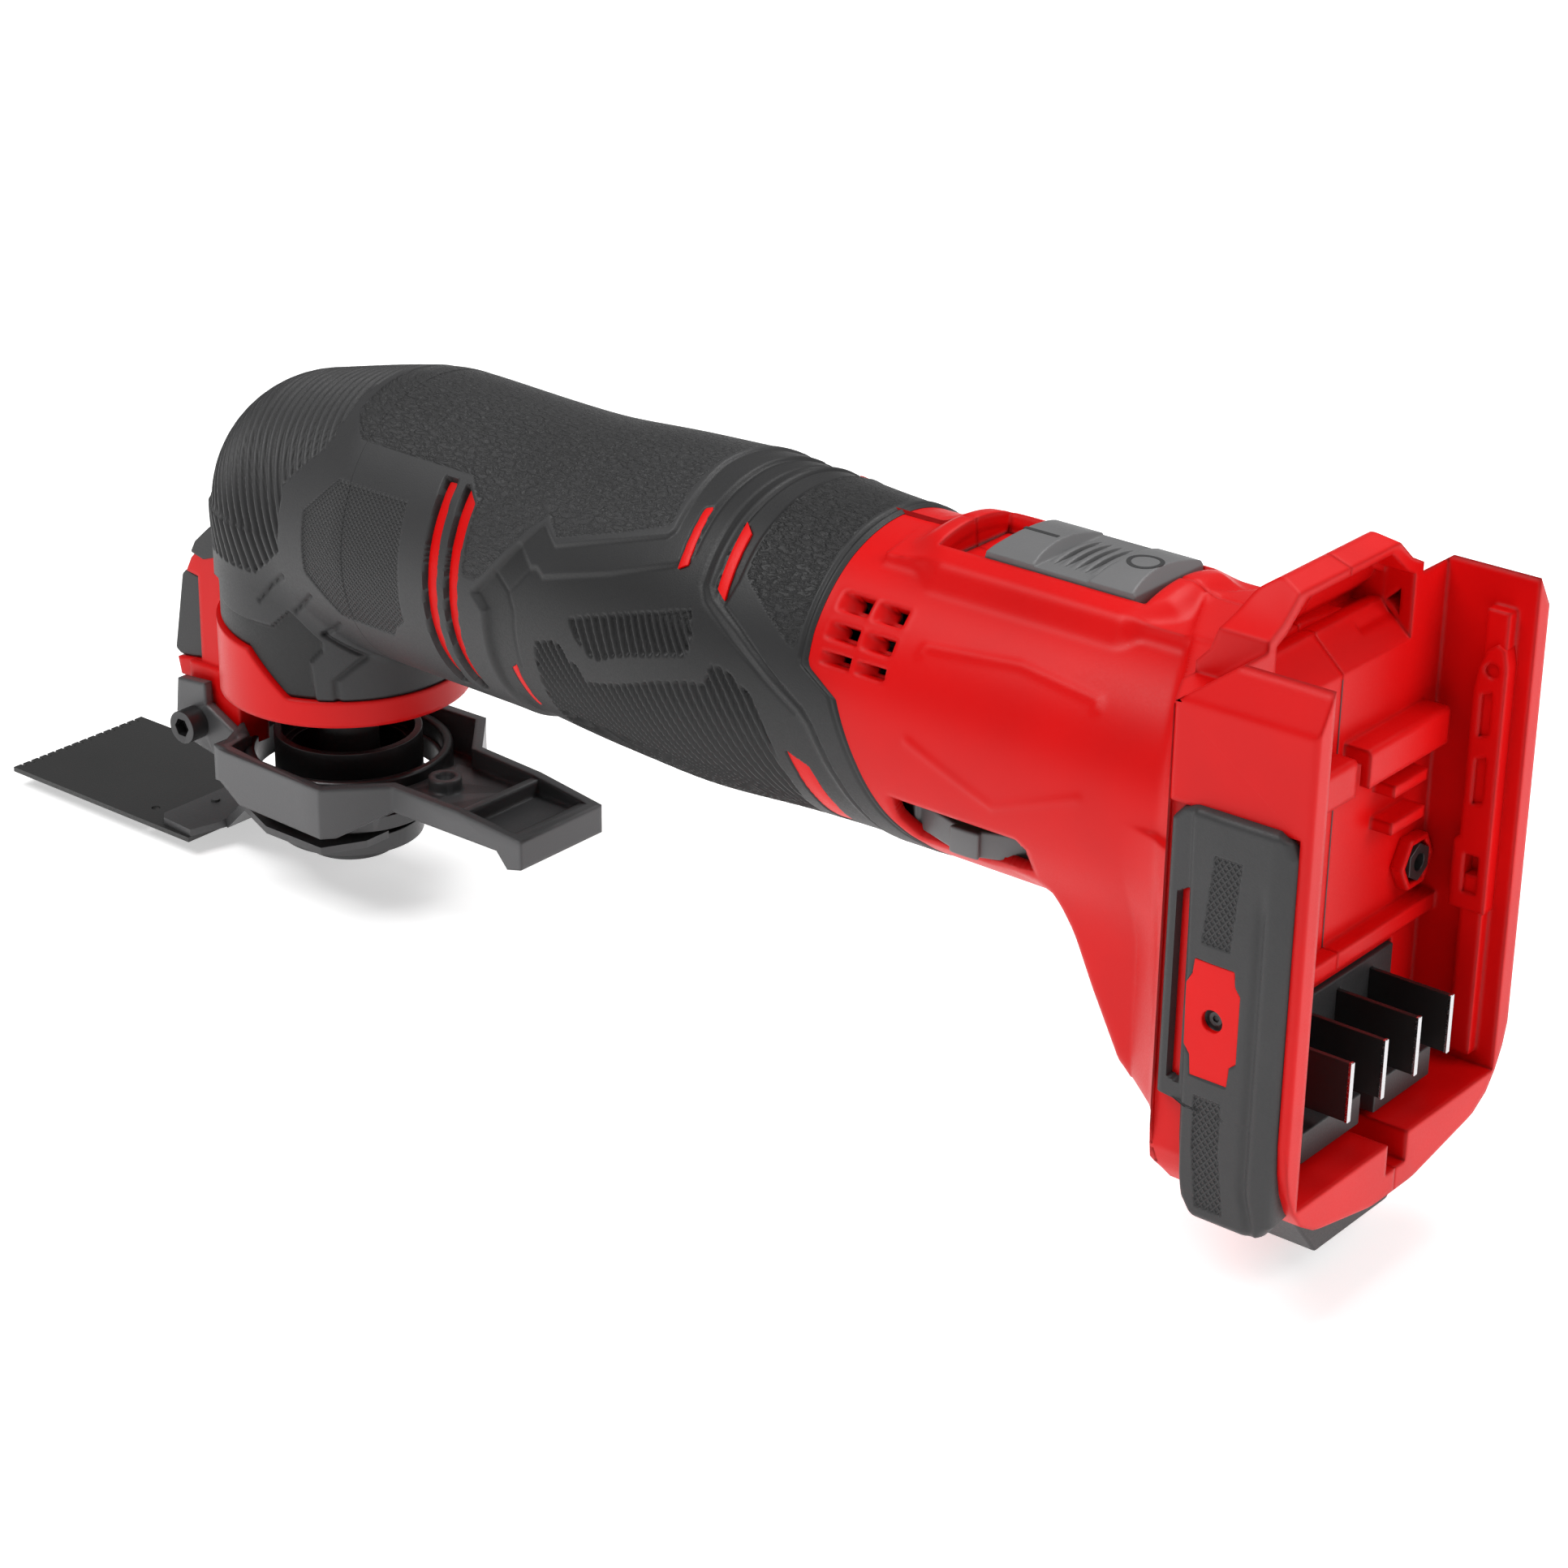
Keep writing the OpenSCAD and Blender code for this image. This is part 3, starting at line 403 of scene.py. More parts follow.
ACCENTS = [
    flat_outline([(103.9, 58.4), (105.4, 60), (106.8, 37.8), (105.2, 35.6)]),
    flat_outline([(113, 58.6), (115.1, 55), (116.3, 30.2), (114.3, 33.2)]),
    flat_outline([(67.9, -22.8), (69.4, -20.3), (70.1, -44), (68.9, -42)]),
]
SHORT_GROOVES = flat_outline([(83.4, 8.6), (84.2, 8.2), (89.3, 11.5), (110.2, 24.3), (111.7, 18),
                              (111.3, 12.6), (111, 8.6), (104, 5), (98.6, 2.2), (95, -0.3), (91.2, -3.8),
                              (88.8, -3), (86, 1.6)])
LONG_GROOVES = flat_outline([(75.3, -80), (75.3, -12), (75.7, -5.5), (80.3, -2.3), (81.6, -2.8),
                             (84.6, -8), (86.6, -9.6), (88, -14.2), (95, -10.4), (104.5, -3.6),
                             (110.5, -0.4), (115, 1), (115.3, 5), (116, 8.4), (118.9, 8.1), (120.6, 6.4),
                             (124.6, 1.4), (126.6, -7), (128.2, -17), (129.4, -27), (130.1, -40),
                             (130.3, -80)])
CREASES = [
    flat_outline([(65.4, 15.4), (69.2, 9.5), (73.4, 19.8)]),
    flat_outline([(69.3, 8.5), (70.6, 3), (70.9, -20)]),
    flat_outline([(132.8, 95), (132.9, 70), (133.2, 40), (133.6, 19.8)]),
    flat_outline([(105.8, 95), (106.3, 60), (106.9, 42)]),
    flat_outline([(110, 95), (109.9, 60), (110.4, 44), (110.9, 33), (112.4, 28), (119, 19), (127, 8.5),
                  (133.6, 0)]),
]
# Curves that the long grooves follow, as (degrees, mm along the tool), and how many grooves lie between
# one curve and the next
SWEEPS = [
    [(-90, 114), (-60, 97), (-47, 90.5), (-38, 85), (-30, 82.2), (-21, 80), (-14, 78), (-5, 75.3),
     (25, 66)],
    [(-90, 121), (-60, 116), (-52, 113.5), (-45, 111), (-36, 107), (-26, 104), (-16, 101.5), (-6, 99),
     (25, 93)],
    [(-90, 131), (-52, 130.6), (-45, 130), (-33, 128.4), (-22, 126.3), (-10, 123.8), (0, 121.3),
     (8, 118.5), (25, 112)],
]
SWEEP_COUNT = 12


GRIP_R = 27.4  # radius of the rubber where the head joins the grip
LEVEL = 0.5  # height between one panel of the rubber and the next
GRAIN_SUNK = 0.16
KNURL_SUNK = 0.2
GROOVE_DEPTH = 0.75
GROOVE_FLANK = 0.28  # half the width of a groove's side, as a share of half a step
SLOT_DEPTH = 1.6
ACCENT_DEPTH = 0.5


def ridge(distance, width):
    """1 on a line, falling off to nothing over about two widths."""
    return np.exp(-((distance / width) ** 2))


def groove_wave(phase):
    """1 in a groove and 0 on a rib, once for each whole step of phase."""
    t = np.abs(phase - np.floor(phase) - 0.5) * 2
    return 1 - smooth(0.5 - GROOVE_FLANK, 0.5 + GROOVE_FLANK, t)


def sweep_phase(x, angle):
    """Counts the long grooves at a place on the grip."""
    a, b, c = (along(sweep, angle) for sweep in SWEEPS)
    return np.where(x < b, (x - a) / (b - a), 1 + (x - b) / (c - b)) * SWEEP_COUNT


def grip_relief(x, s):
    """Height of the rubber over its plain round form, with how much grain and knurl it has."""
    angle = s / DEG
    h = -LEVEL * (1 - raised(UPPER, x, s))
    h -= LEVEL * raised(LOWER, x, s, 0.9)
    h += LEVEL * raised(BEHIND, x, s, 0.3)
    h += 0.42 * ridge(near_line(BEAD, x, s), 0.75)
    h -= LEVEL * raised(VALLEY, x, s, 0.6)
    grain = smooth(0, 0.25, within(GRAIN, x, s)) + smooth(0, 0.25, within(GRAIN_REAR, x, s))
    h -= GRAIN_SUNK * grain
    knurl = smooth(0, 0.25, within(KNURL, x, AXIS + GRIP_R * np.sin(np.radians(angle))))
    h -= KNURL_SUNK * knurl
    for line in CREASES:
        h -= 0.16 * ridge(near_line(line, x, s), 0.32)
    wave = groove_wave(sweep_phase(x, angle))
    for area in (SHORT_GROOVES, LONG_GROOVES):
        h -= GROOVE_DEPTH * wave * smooth(0, 0.3, within(area, x, s))
    for area in (SLOT_FRONT, SLOT_BACK, POCKET):
        d = within(area, x, s)
        h -= SLOT_DEPTH * smooth(-0.1, 0.35, d) + h * smooth(0, 0.35, d)
    for area in ACCENTS:
        h -= ACCENT_DEPTH * smooth(-0.05, 0.25, within(area, x, s))
    return h, grain, knurl


def grip_radius(x):
    """Radius of the grip along the tool, with the corners of its profile rounded."""
    return sum(along(GRIP_PROFILE, x + d) for d in (-6, -3, -1, 1, 3, 6)) / 6


# ---------- closed skins ----------


def stitch(fine, coarse, k):
    """Triangles between a border of the fine skin and the same border of the coarse one behind it."""
    faces = []
    for j in range(len(coarse) - 1):
        mid = j * k + k // 2
        faces += [(coarse[j], fine[i], fine[i + 1]) for i in range(j * k, mid)]
        faces.append((coarse[j], fine[mid], coarse[j + 1]))
        faces += [(coarse[j + 1], fine[i], fine[i + 1]) for i in range(mid, (j + 1) * k)]
    return faces


def skin(name, outer, inner, k, body, node, slot, attributes, wrap=False, holes=None):
    """A closed shell from a fine grid of outer points and every k-th of them moved in.

    With wrap the grid closes on itself; with k 1, the cells marked in holes are left open.
    """
    nu, nv = outer.shape[0], outer.shape[1]
    cu, cv = inner.shape[0], inner.shape[1]
    a = np.arange(nu * nv).reshape(nu, nv)
    b = np.arange(cu * cv).reshape(cu, cv) + nu * nv
    if wrap:
        a, b = (np.concatenate([g, g[:, :1]], 1) for g in (a, b))

    def quads(g, flip):
        q = np.stack([g[:-1, :-1], g[1:, :-1], g[1:, 1:], g[:-1, 1:]], -1).reshape(-1, 4)
        return q[:, ::-1] if flip else q

    if holes is None:
        faces = quads(a, False).tolist() + quads(b, True).tolist()
    else:
        keep = ~holes.ravel()
        faces = quads(a, False)[keep].tolist() + quads(b, True)[keep].tolist()
        # walls round the holes
        across = holes[1:, :] != holes[:-1, :]
        for i, j in np.argwhere(across):
            faces.append((a[i + 1, j], a[i + 1, j + 1], b[i + 1, j + 1], b[i + 1, j]))
        along = holes[:, 1:] != holes[:, :-1]
        for i, j in np.argwhere(along):
            faces.append((a[i, j + 1], a[i + 1, j + 1], b[i + 1, j + 1], b[i, j + 1]))
    borders = [(a[0], b[0]), (a[-1], b[-1])]
    if not wrap:
        borders += [(a[:, 0], b[:, 0]), (a[:, -1], b[:, -1])]
    for fine, coarse in borders:
        faces += stitch(fine.tolist(), coarse.tolist(), k)
    points = np.concatenate([outer.reshape(-1, 3), inner.reshape(-1, 3)]) * MM
    mesh = closed_mesh(name, points.tolist(), faces)
    for key, values in attributes.items():
        full = np.zeros((len(points), values.shape[-1]), np.float32)
        full[: nu * nv] = values.reshape(nu * nv, -1)
        kind, field = ("FLOAT_COLOR", "color") if key == "zone" else ("FLOAT_VECTOR", "vector")
        mesh.attributes.new(key, kind, "POINT").data.foreach_set(field, full.ravel())
    if holes is not None:
        bm = bmesh.new()
        bm.from_mesh(mesh)
        bmesh.ops.delete(bm, geom=[v for v in bm.verts if not v.link_faces], context="VERTS")
        bm.to_mesh(mesh)
        bm.free()
    mesh.shade_smooth()
    mesh.set_sharp_from_angle(angle=math.radians(62))
    add_piece(name, mesh, slot, body, node)


def attribute_sets(x, s, grain, knurl, h=None):
    """What the rubber finish reads: its zones, and the surface laid flat in metres;
    h darkens the low parts with painted shade and a little dust.
    """
    low = np.zeros_like(grain) if h is None else np.clip(-h / 0.7, 0, 1)
    zone = np.stack([grain, knurl, low, np.ones_like(grain)], -1)
    return {"zone": zone, "flat": np.stack([x * MM, s * MM, np.zeros_like(x)], -1)}


def round_point(x, s, r, side):
    """Point at radius r round the grip axis; side is -1 on the left and 1 on the right."""
    a = s / DEG * math.pi / 180
    return np.stack([x, side * r * np.cos(a), AXIS + r * np.sin(a)], -1)


GRIP_FRONT = 28.0  # where the grip covers meet the head cover
GRIP_INSIDE = 25.9
STEP = 12  # fine cells for each coarse one on the inside of a skin


def crown(x, up):
    """Extra height over the head and the front of the grip; up is the sine of the angle round."""
    return 1.4 * np.exp(-(((x - 20) / 27) ** 2)) * smooth(0.2, 0.95, up)


def grip_half(side, node):
    """One half of the rubber over the grip, from the head to its slanted rear edge."""
    nu, nv = 360, 252
    angle = np.linspace(-90, 90, nv + 1)
    end = along(REAR_EDGE, angle)
    u = np.linspace(0, 1, nu + 1)[:, None]
    x = GRIP_FRONT + u * (end[None, :] - GRIP_FRONT)
    s = np.broadcast_to(angle[None, :] * DEG, x.shape)
    h, grain, knurl = grip_relief(x, s)
    to_end = end[None, :] - x
    h = h - 0.45 * (1 - smooth(0, 0.9, to_end)) - 0.25 * ridge(to_end - 1.4, 0.3)
    outer = round_point(x, s, grip_radius(x) + h + crown(x, np.sin(np.radians(s / DEG))), side)
    inner = round_point(x, s, np.full(x.shape, GRIP_INSIDE), side)[::STEP, ::STEP]
    skin(node + "_skin", outer, inner, STEP, "housing", node, "grip_rubber",
         attribute_sets(x, s, grain, knurl, h))


def strip(name, corners, r_offset, side, thick=0.5):
    """A red inlay between four corners on the grip, given as [mm along, mm round]."""
    nu, nv = 48, 6
    (ax, ay), (bx, by), (cx, cy), (dx, dy) = corners
    u = np.linspace(0, 1, nu + 1)[:, None]
    v = np.linspace(0, 1, nv + 1)[None, :]
    x = (ax * (1 - v) + bx * v) * (1 - u) + (dx * (1 - v) + cx * v) * u
    s = (ay * (1 - v) + by * v) * (1 - u) + (dy * (1 - v) + cy * v) * u
    bulge = 0.12 * (1 - (2 * v - 1) ** 4) * np.ones_like(u)
    r = grip_radius(x) + r_offset
    outer = round_point(x, s, r + bulge, side)
    inner = round_point(x, s, r - thick, side)[::6, ::6]
    none = np.zeros_like(x)
    skin(name, outer, inner, 6, "housing", None, "red_inlay", attribute_sets(x, s, none, none))


# ---------- rubber on the head ----------

# Lower edge of the rubber, as [mm along the tool, height]
HEAD_RIM = [(-30, 41.5), (-13, 40.2), (-1.5, 39.4), (7.6, 31.2), (60, 31.2)]
PIVOT = (28.0, 30.0)  # the head's skin is built on half planes that turn about this line
# Outlines and lines on the side of the head, as [mm along the tool, height]
HEAD_GROOVES = [(2, 55.4), (10, 62), (10, 74.5), (15, 79.2), (18.5, 82), (19.6, 84.2), (19.6, 96),
                (-30, 96), (-30, 45.5), (-23, 46.5), (-20, 51), (-16, 54.6), (-12, 55.4)]
CHIN = [(-30, 41), (-20.5, 46), (-14, 49.4), (-11.3, 49.8), (-10.3, 46.6), (-8.5, 45.8), (-4.5, 45.3),
        (5, 45), (8.8, 48.7), (10, 47.6), (14, 43.2), (14, 41.6), (12, 39), (12.8, 30), (12.8, 20),
        (-30, 20)]
HEAD_CREASES = [[(14.6, 45), (20, 40.3), (16, 35.6), (16.2, 30.6)], [(14.6, 45), (22.5, 50)],
                [(10.2, 49.3), (16.8, 54.6)], [(2.6, 50.2), (6, 54), (9.6, 56.8)]]


BARREL_R = 24.2
DOME_X, DOME_Z, DOME_R = 0.5, 63, 24.3  # the round end of the head over the spindle


def head_distance(x, y, z):
    """Signed distance to the head's plain form: a round cone to the grip, blended into the barrel."""
    dx, dz, dr = GRIP_FRONT - DOME_X, AXIS - DOME_Z, GRIP_R - DOME_R
    t = np.clip(((x - DOME_X) * dx + (z - DOME_Z) * dz) / (dx * dx + dz * dz) + 0.11, 0, 1)
    cone = np.sqrt((x - DOME_X - dx * t) ** 2 + y * y + (z - DOME_Z - dz * t) ** 2) - (DOME_R + dr * t)
    barrel = np.maximum(np.hypot(x, y) - BARREL_R, z - DOME_Z)
    mix = np.clip(2.0 - np.abs(cone - barrel), 0, None) / 2.0
    return np.minimum(cone, barrel) - mix * mix * 0.5


def head_point(alpha, phi):
    """Where the ray at phi leaves the head, from a middle line in the half plane at alpha."""
    a = alpha / 90
    mid = GRIP_FRONT + 12 * a - 4.8 * a * a
    ex, ez = -np.cos(np.radians(alpha)), np.sin(np.radians(alpha))
    lo, hi = np.zeros_like(alpha), np.full_like(alpha, 46.0)

    def at(r):
        t = mid + r * np.cos(phi)
        return PIVOT[0] + ex * t, r * np.sin(phi), PIVOT[1] + ez * t

    for _ in range(30):
        r = (lo + hi) / 2
        inside = head_distance(*at(r)) < 0
        lo, hi = np.where(inside, r, lo), np.where(inside, hi, r)
    return at(lo)


def head_relief(x, z):
    """Height of the rubber over the head's plain form, its grain and knurl, and the distance round."""
    up = np.clip((z - AXIS) / GRIP_R, -1, 1)
    s = np.degrees(np.arcsin(up)) * DEG
    # the ribs lean and curve a little, and stand 2.3 mm apart
    w = x + 0.48 * (z - 70) + 0.0042 * (z - 70) ** 2
    h = -0.8 * groove_wave(w / 2.3) * smooth(0, 0.35, within(HEAD_GROOVES, x, z))
    h -= 0.85 * raised(CHIN, x, z, 0.45)
    for line in HEAD_CREASES:
        h -= 0.5 * ridge(near_line(line, x, z), 0.4)
    knurl = smooth(0, 0.25, within(KNURL, x, z))
    grain = smooth(0, 0.25, within(GRAIN, x, s))
    return h - KNURL_SUNK * knurl - GRAIN_SUNK * grain, grain, knurl, s


def head_skin():
    """The rubber cover of the head, from its rim round the barrel to where it meets the grip."""
    nu, nv = 240, 408
    phi = np.broadcast_to(np.linspace(0, 2 * math.pi, nv, endpoint=False)[None, :], (nu + 1, nv))
    lo, hi = np.zeros(nv), np.full(nv, 60.0)
    for _ in range(24):
        alpha = (lo + hi) / 2
        x, y, z = head_point(alpha, phi[0])
        below = z < along(HEAD_RIM, x)
        lo, hi = np.where(below, alpha, lo), np.where(below, hi, alpha)
    start = lo[None, :]
    alpha = start + np.linspace(0, 1, nu + 1)[:, None] * (90 - start)
    x, y, z = head_point(alpha, phi)
    base = np.stack([x, y, z], -1)
    du = np.gradient(base, axis=0)
    dv = np.roll(base, -1, 1) - np.roll(base, 1, 1)
    n = np.cross(du, dv)
    n /= np.linalg.norm(n, axis=-1, keepdims=True)
    centre = np.stack([np.full_like(x, 8.0), np.zeros_like(x), np.full_like(x, 56.0)], -1)
    n *= np.sign((n * (base - centre)).sum(-1, keepdims=True))
    h, grain, knurl, s = head_relief(x, z)
    rim = np.linalg.norm(base - base[:1], axis=-1)
    h = h - 0.45 * (1 - smooth(0, 0.8, rim))
    outer = base + n * (h + crown(x, (z - AXIS) / GRIP_R))[..., None]
    inner = (base - n * 2.0)[::STEP, ::STEP]
    skin("head_cover_skin", outer, inner, STEP, "housing", "head_cover", "grip_rubber",
         attribute_sets(x, s, grain, knurl, h), wrap=True)


head_skin()
# Red floors of the slots in the grip, with how far they lie under its plain form
SLOT_STRIPS = [
    (flat_outline([(48.3, 43.2), (51.6, 43.2), (52.8, -46), (49.4, -46)]), -1.25),
    (flat_outline([(53.5, 42.6), (56.9, 37.2), (57.9, -45), (54.6, -46)]), -1.25),
    (flat_outline([(131, -17), (135.2, -21), (138, -57), (133, -57)]), -1.3),
]
ACCENT_FLOORS = [-0.72, -0.62, -1.1]
SIDES = ((-1, "left"), (1, "right"))
for side, word in SIDES:
    grip_half(side, word + "_grip_cover")
    for i, (corners, depth) in enumerate(zip(ACCENTS, ACCENT_FLOORS)):
        strip(f"{word}_accent_{i + 1}", corners, depth, side)
    for i, (corners, depth) in enumerate(SLOT_STRIPS):
        strip(f"{word}_slot_floor_{i + 1}", corners, depth, side)

# ---------- red body ----------

# Outlines on the body, as on the grip
VENTS = [flat_outline([(x0, a0), (x0 + w, a0), (x0 + w, a1), (x0, a1)])
         for x0, w in ((136.9, 6.3), (144.2, 6.1)) for a0, a1 in ((39.3, 46.3), (28.8, 34.9), (20.1, 24.7))]
DIAL_WINDOW = flat_outline([(152, -23.2), (176.8, -23.2), (178.4, -27), (178.4, -38), (168, -43.8),
                            (154, -44.7), (151.8, -33.8)])
# The raised deck round the switch from above, as [mm along the tool, mm across]
DECK = [(146.2, 7.5), (152, 13.4), (187, 13.4), (192, 7.5), (192, -7.5), (187, -13.4), (152, -13.4),
        (146.2, -7.5)]
DECK_WELL = flat_outline([(148.9, 70.7), (189.2, 70.7), (189.2, 115), (148.9, 115)])
LINK_SLOT = flat_outline([(157.5, 83), (180.5, 83), (180.5, 115), (157.5, 115)])
PANEL_LINES = [flat_outline([(155.6, 33), (156, 36), (174, 39.6), (189.4, 36), (189.8, 33)]),
               flat_outline([(156.6, 3), (173.4, -10.8), (190, 2.6)])]
# Front of the foot from behind, as [mm across, height]; only the half at positive Y is used, for both sides
FOOT_OUTLINE = [(34, 92), (34, 24), (33.6, 19), (32.6, 15), (30.8, 11.2), (28.4, 8), (24.6, 5.7),
                (20, 4.2), (9, 1.9), (-9, 1.9), (-34, 24), (-34, 92)]
BODY_R = 27.36
BODY_END = 210.95
DECK_TOP = 30.1  # radius of the deck's crown
WELL_FLOOR = 25.2  # height over the axis of the floor under the slider
# Height of the neck's lower edge along the tool, and half its width
NECK_BOTTOM = [(164, 54), (178, 48), (181, 45.6), (183.5, 39.8), (189, 29.2), (195, 18.8), (197.6, 16.7),
               (212, 16.3)]
NECK_HALF = [(164, 17.5), (198, 20.5), (212, 31.6)]
FOOT_FRONT = 207


def soft_max(a, b, k):
    """The larger of two values, with a fillet of about k where they meet."""
    m = np.clip(k - np.abs(a - b), 0, None) / k
    return np.maximum(a, b) + m * m * k / 4


def ray_to_outline(points, angle):
    """Distance from the grip axis to a closed outline across the tool, at each angle up from the side."""
    c, d = np.cos(angle), np.sin(angle)
    best = np.full(angle.shape, 200.0)
    for (ay, az), (by, bz) in zip(points, points[1:] + points[:1]):
        ey, ez = by - ay, bz - az
        det = c * -ez + d * ey
        det = np.where(np.abs(det) < 1e-9, 1e-9, det)
        r = (ay * -ez + (az - AXIS) * ey) / det
        t = (c * (az - AXIS) - d * ay) / det
        best = np.where((r > 0) & (t >= -1e-6) & (t <= 1 + 1e-6), np.minimum(best, r), best)
    return best


def body_radius(x, angle):
    """Outside of the red body, as a radius from the grip axis; angle is in radians."""
    c, d = np.maximum(np.cos(angle), 1e-4), np.sin(angle)
    down, up = np.maximum(-d, 1e-4), np.maximum(d, 1e-4)
    r = np.full(x.shape, BODY_R)
    # neck under the body
    bottom = along(NECK_BOTTOM, x) - 0.05
    low = np.where(d < 0, (AXIS - bottom) / down, 0)
    wide = along(NECK_HALF, x) / c
    neck = -soft_max(-low, -wide, 5.0)
    r = soft_max(r, np.where(x > 165, neck, 0), 7.0)
    # front of the foot, chamfered at its sides and below, and kept under the hood
    foot = ray_to_outline(FOOT_OUTLINE, angle)
    foot = np.minimum(foot, np.maximum(26.04 + 2 * (x - FOOT_FRONT), 0.1) / c)
    floor = 16.1 - 1.5 * (x - FOOT_FRONT)
    foot = np.minimum(foot, np.where(d < 0, (AXIS - floor) / down, 200))
    foot = np.minimum(foot, np.where(d > 0, 25.55 / up, 200))
    blend = 7.0 * (1 - smooth(206, 210.6, x)) + 0.05
    r = soft_max(r, foot, blend)
    # low bridge in line with the deck, and the deck itself
    top = (WELL_FLOOR + 1.1 * smooth(141, 149, x)) / up
    bridge = np.where((x > 140) & (d > 0.3), np.minimum(top, 12.6 / c), 0)
    r = soft_max(r, bridge, 3.0)
    y = DECK_TOP * np.cos(angle)
    plan = np.where(d > 0, within(DECK, x, y), -99)
    return r + (np.maximum(DECK_TOP, r) - r) * smooth(-4.6, 0.8, plan)


def to_edge(x, s, outline, cell):
    """Moves the points of a grid that lie close to an outline onto it."""
    e = 0.01
    d = within(outline, x, s)
    gx = (within(outline, x + e, s) - within(outline, x - e, s)) / (2 * e)
    gs = (within(outline, x, s + e) - within(outline, x, s - e)) / (2 * e)
    k = np.where(np.abs(d) < cell, d, 0)
    return x - k * gx, s - k * gs


def body_half(side, node):
    """One half of the red body, with its vents, dial window, deck, panel lines and parting line."""
    nu, nv = 186, 260
    angle = np.linspace(-90, 90, nv + 1)
    front = along(REAR_EDGE, angle) - 2.5  # starts under the grip covers
    x = front[None, :] + np.linspace(0, 1, nu + 1)[:, None] * (BODY_END - front[None, :])
    s = np.broadcast_to(angle[None, :] * DEG, x.shape).copy()
    for outline in [*VENTS, DIAL_WINDOW, DECK_WELL]:
        x, s = to_edge(x, s, outline, 0.2)
    s = np.clip(s, -90 * DEG, 90 * DEG)
    a = np.radians(s / DEG)
    base = body_radius(x, a)
    r = base.copy()
    for line in PANEL_LINES:
        r += 0.3 * ridge(near_line(line, x, s), 0.75)
    # the dial's window and the vents have rounded lips, and the vents slope inward to the rear
    r -= 0.4 * smooth(-1.1, 0, within(DIAL_WINDOW, x, s))
    for outline in VENTS:
        d = within(outline, x, s)
        x0 = outline[0][0]
        ramp = 2.1 * smooth(0.2, 3.4, x - x0) + 0.5
        r += 0.1 * ridge(d + 0.35, 0.3)
        r = np.where(d > -0.01, base - ramp * smooth(-0.01, 0.15, d), r)
    well = within(DECK_WELL, x, s)
    floor = WELL_FLOOR / np.maximum(np.sin(a), 0.5)
    r = np.where(well > -0.01, r + (floor - r) * smooth(-0.01, 0.12, well), r)
    # parting line along the middle
    to_seam = (90 - np.abs(s / DEG)) * DEG
    r -= 0.35 * ridge(to_seam, 0.28) * (well < 0)
    outer = round_point(x, s, r, side)
    inner = round_point(x, s, np.minimum(base - 2.2, r - 0.8), side)
    xm = (x[:-1, :-1] + x[1:, 1:]) / 2
    sm = (s[:-1, :-1] + s[1:, 1:]) / 2
    holes = (within(DIAL_WINDOW, xm, sm) > 0) | (within(LINK_SLOT, xm, sm) > 0)
    for (x0, s0), (x1, _), (_, s1), _ in VENTS:
        holes |= (xm > x0 + 2.9) & (xm < x1) & (sm > s0 + 0.42 * (s1 - s0)) & (sm < s1)
    none = np.zeros_like(x)
    skin(node + "_skin", outer, inner, 1, "housing", node, "red_shell",
         attribute_sets(x, s, none, none), holes=holes)


ROUND_FROM = 24  # degrees from which a long edge counts as convex
WIDE_FACE = 10  # square millimetres
SHORT_EDGE = 0.55


def outer_edges(bm, centre, cut_x, shortest):
    """The long convex edges between wide faces, apart from those on the parting plane and the cut.

    With a centre, only the edges whose faces look away from it.
    """
    found = []
    for e in bm.edges:
        if len(e.link_faces) != 2 or e.calc_length() < shortest * MM:
            continue
        if e.calc_face_angle_signed(0) < math.radians(ROUND_FROM):
            continue
        if min(f.calc_area() for f in e.link_faces) < WIDE_FACE * MM * MM:
            continue
        if max(abs(v.co.y) for v in e.verts) < 2e-5:
            continue
        middle = (e.verts[0].co + e.verts[1].co) / 2
        if cut_x is not None and middle.x < cut_x * MM + 1e-5:
            continue
        if centre and min(f.normal.dot(middle - Vector(centre) * MM) for f in e.link_faces) < -0.0005:
            continue
        found.append(e)
    return found


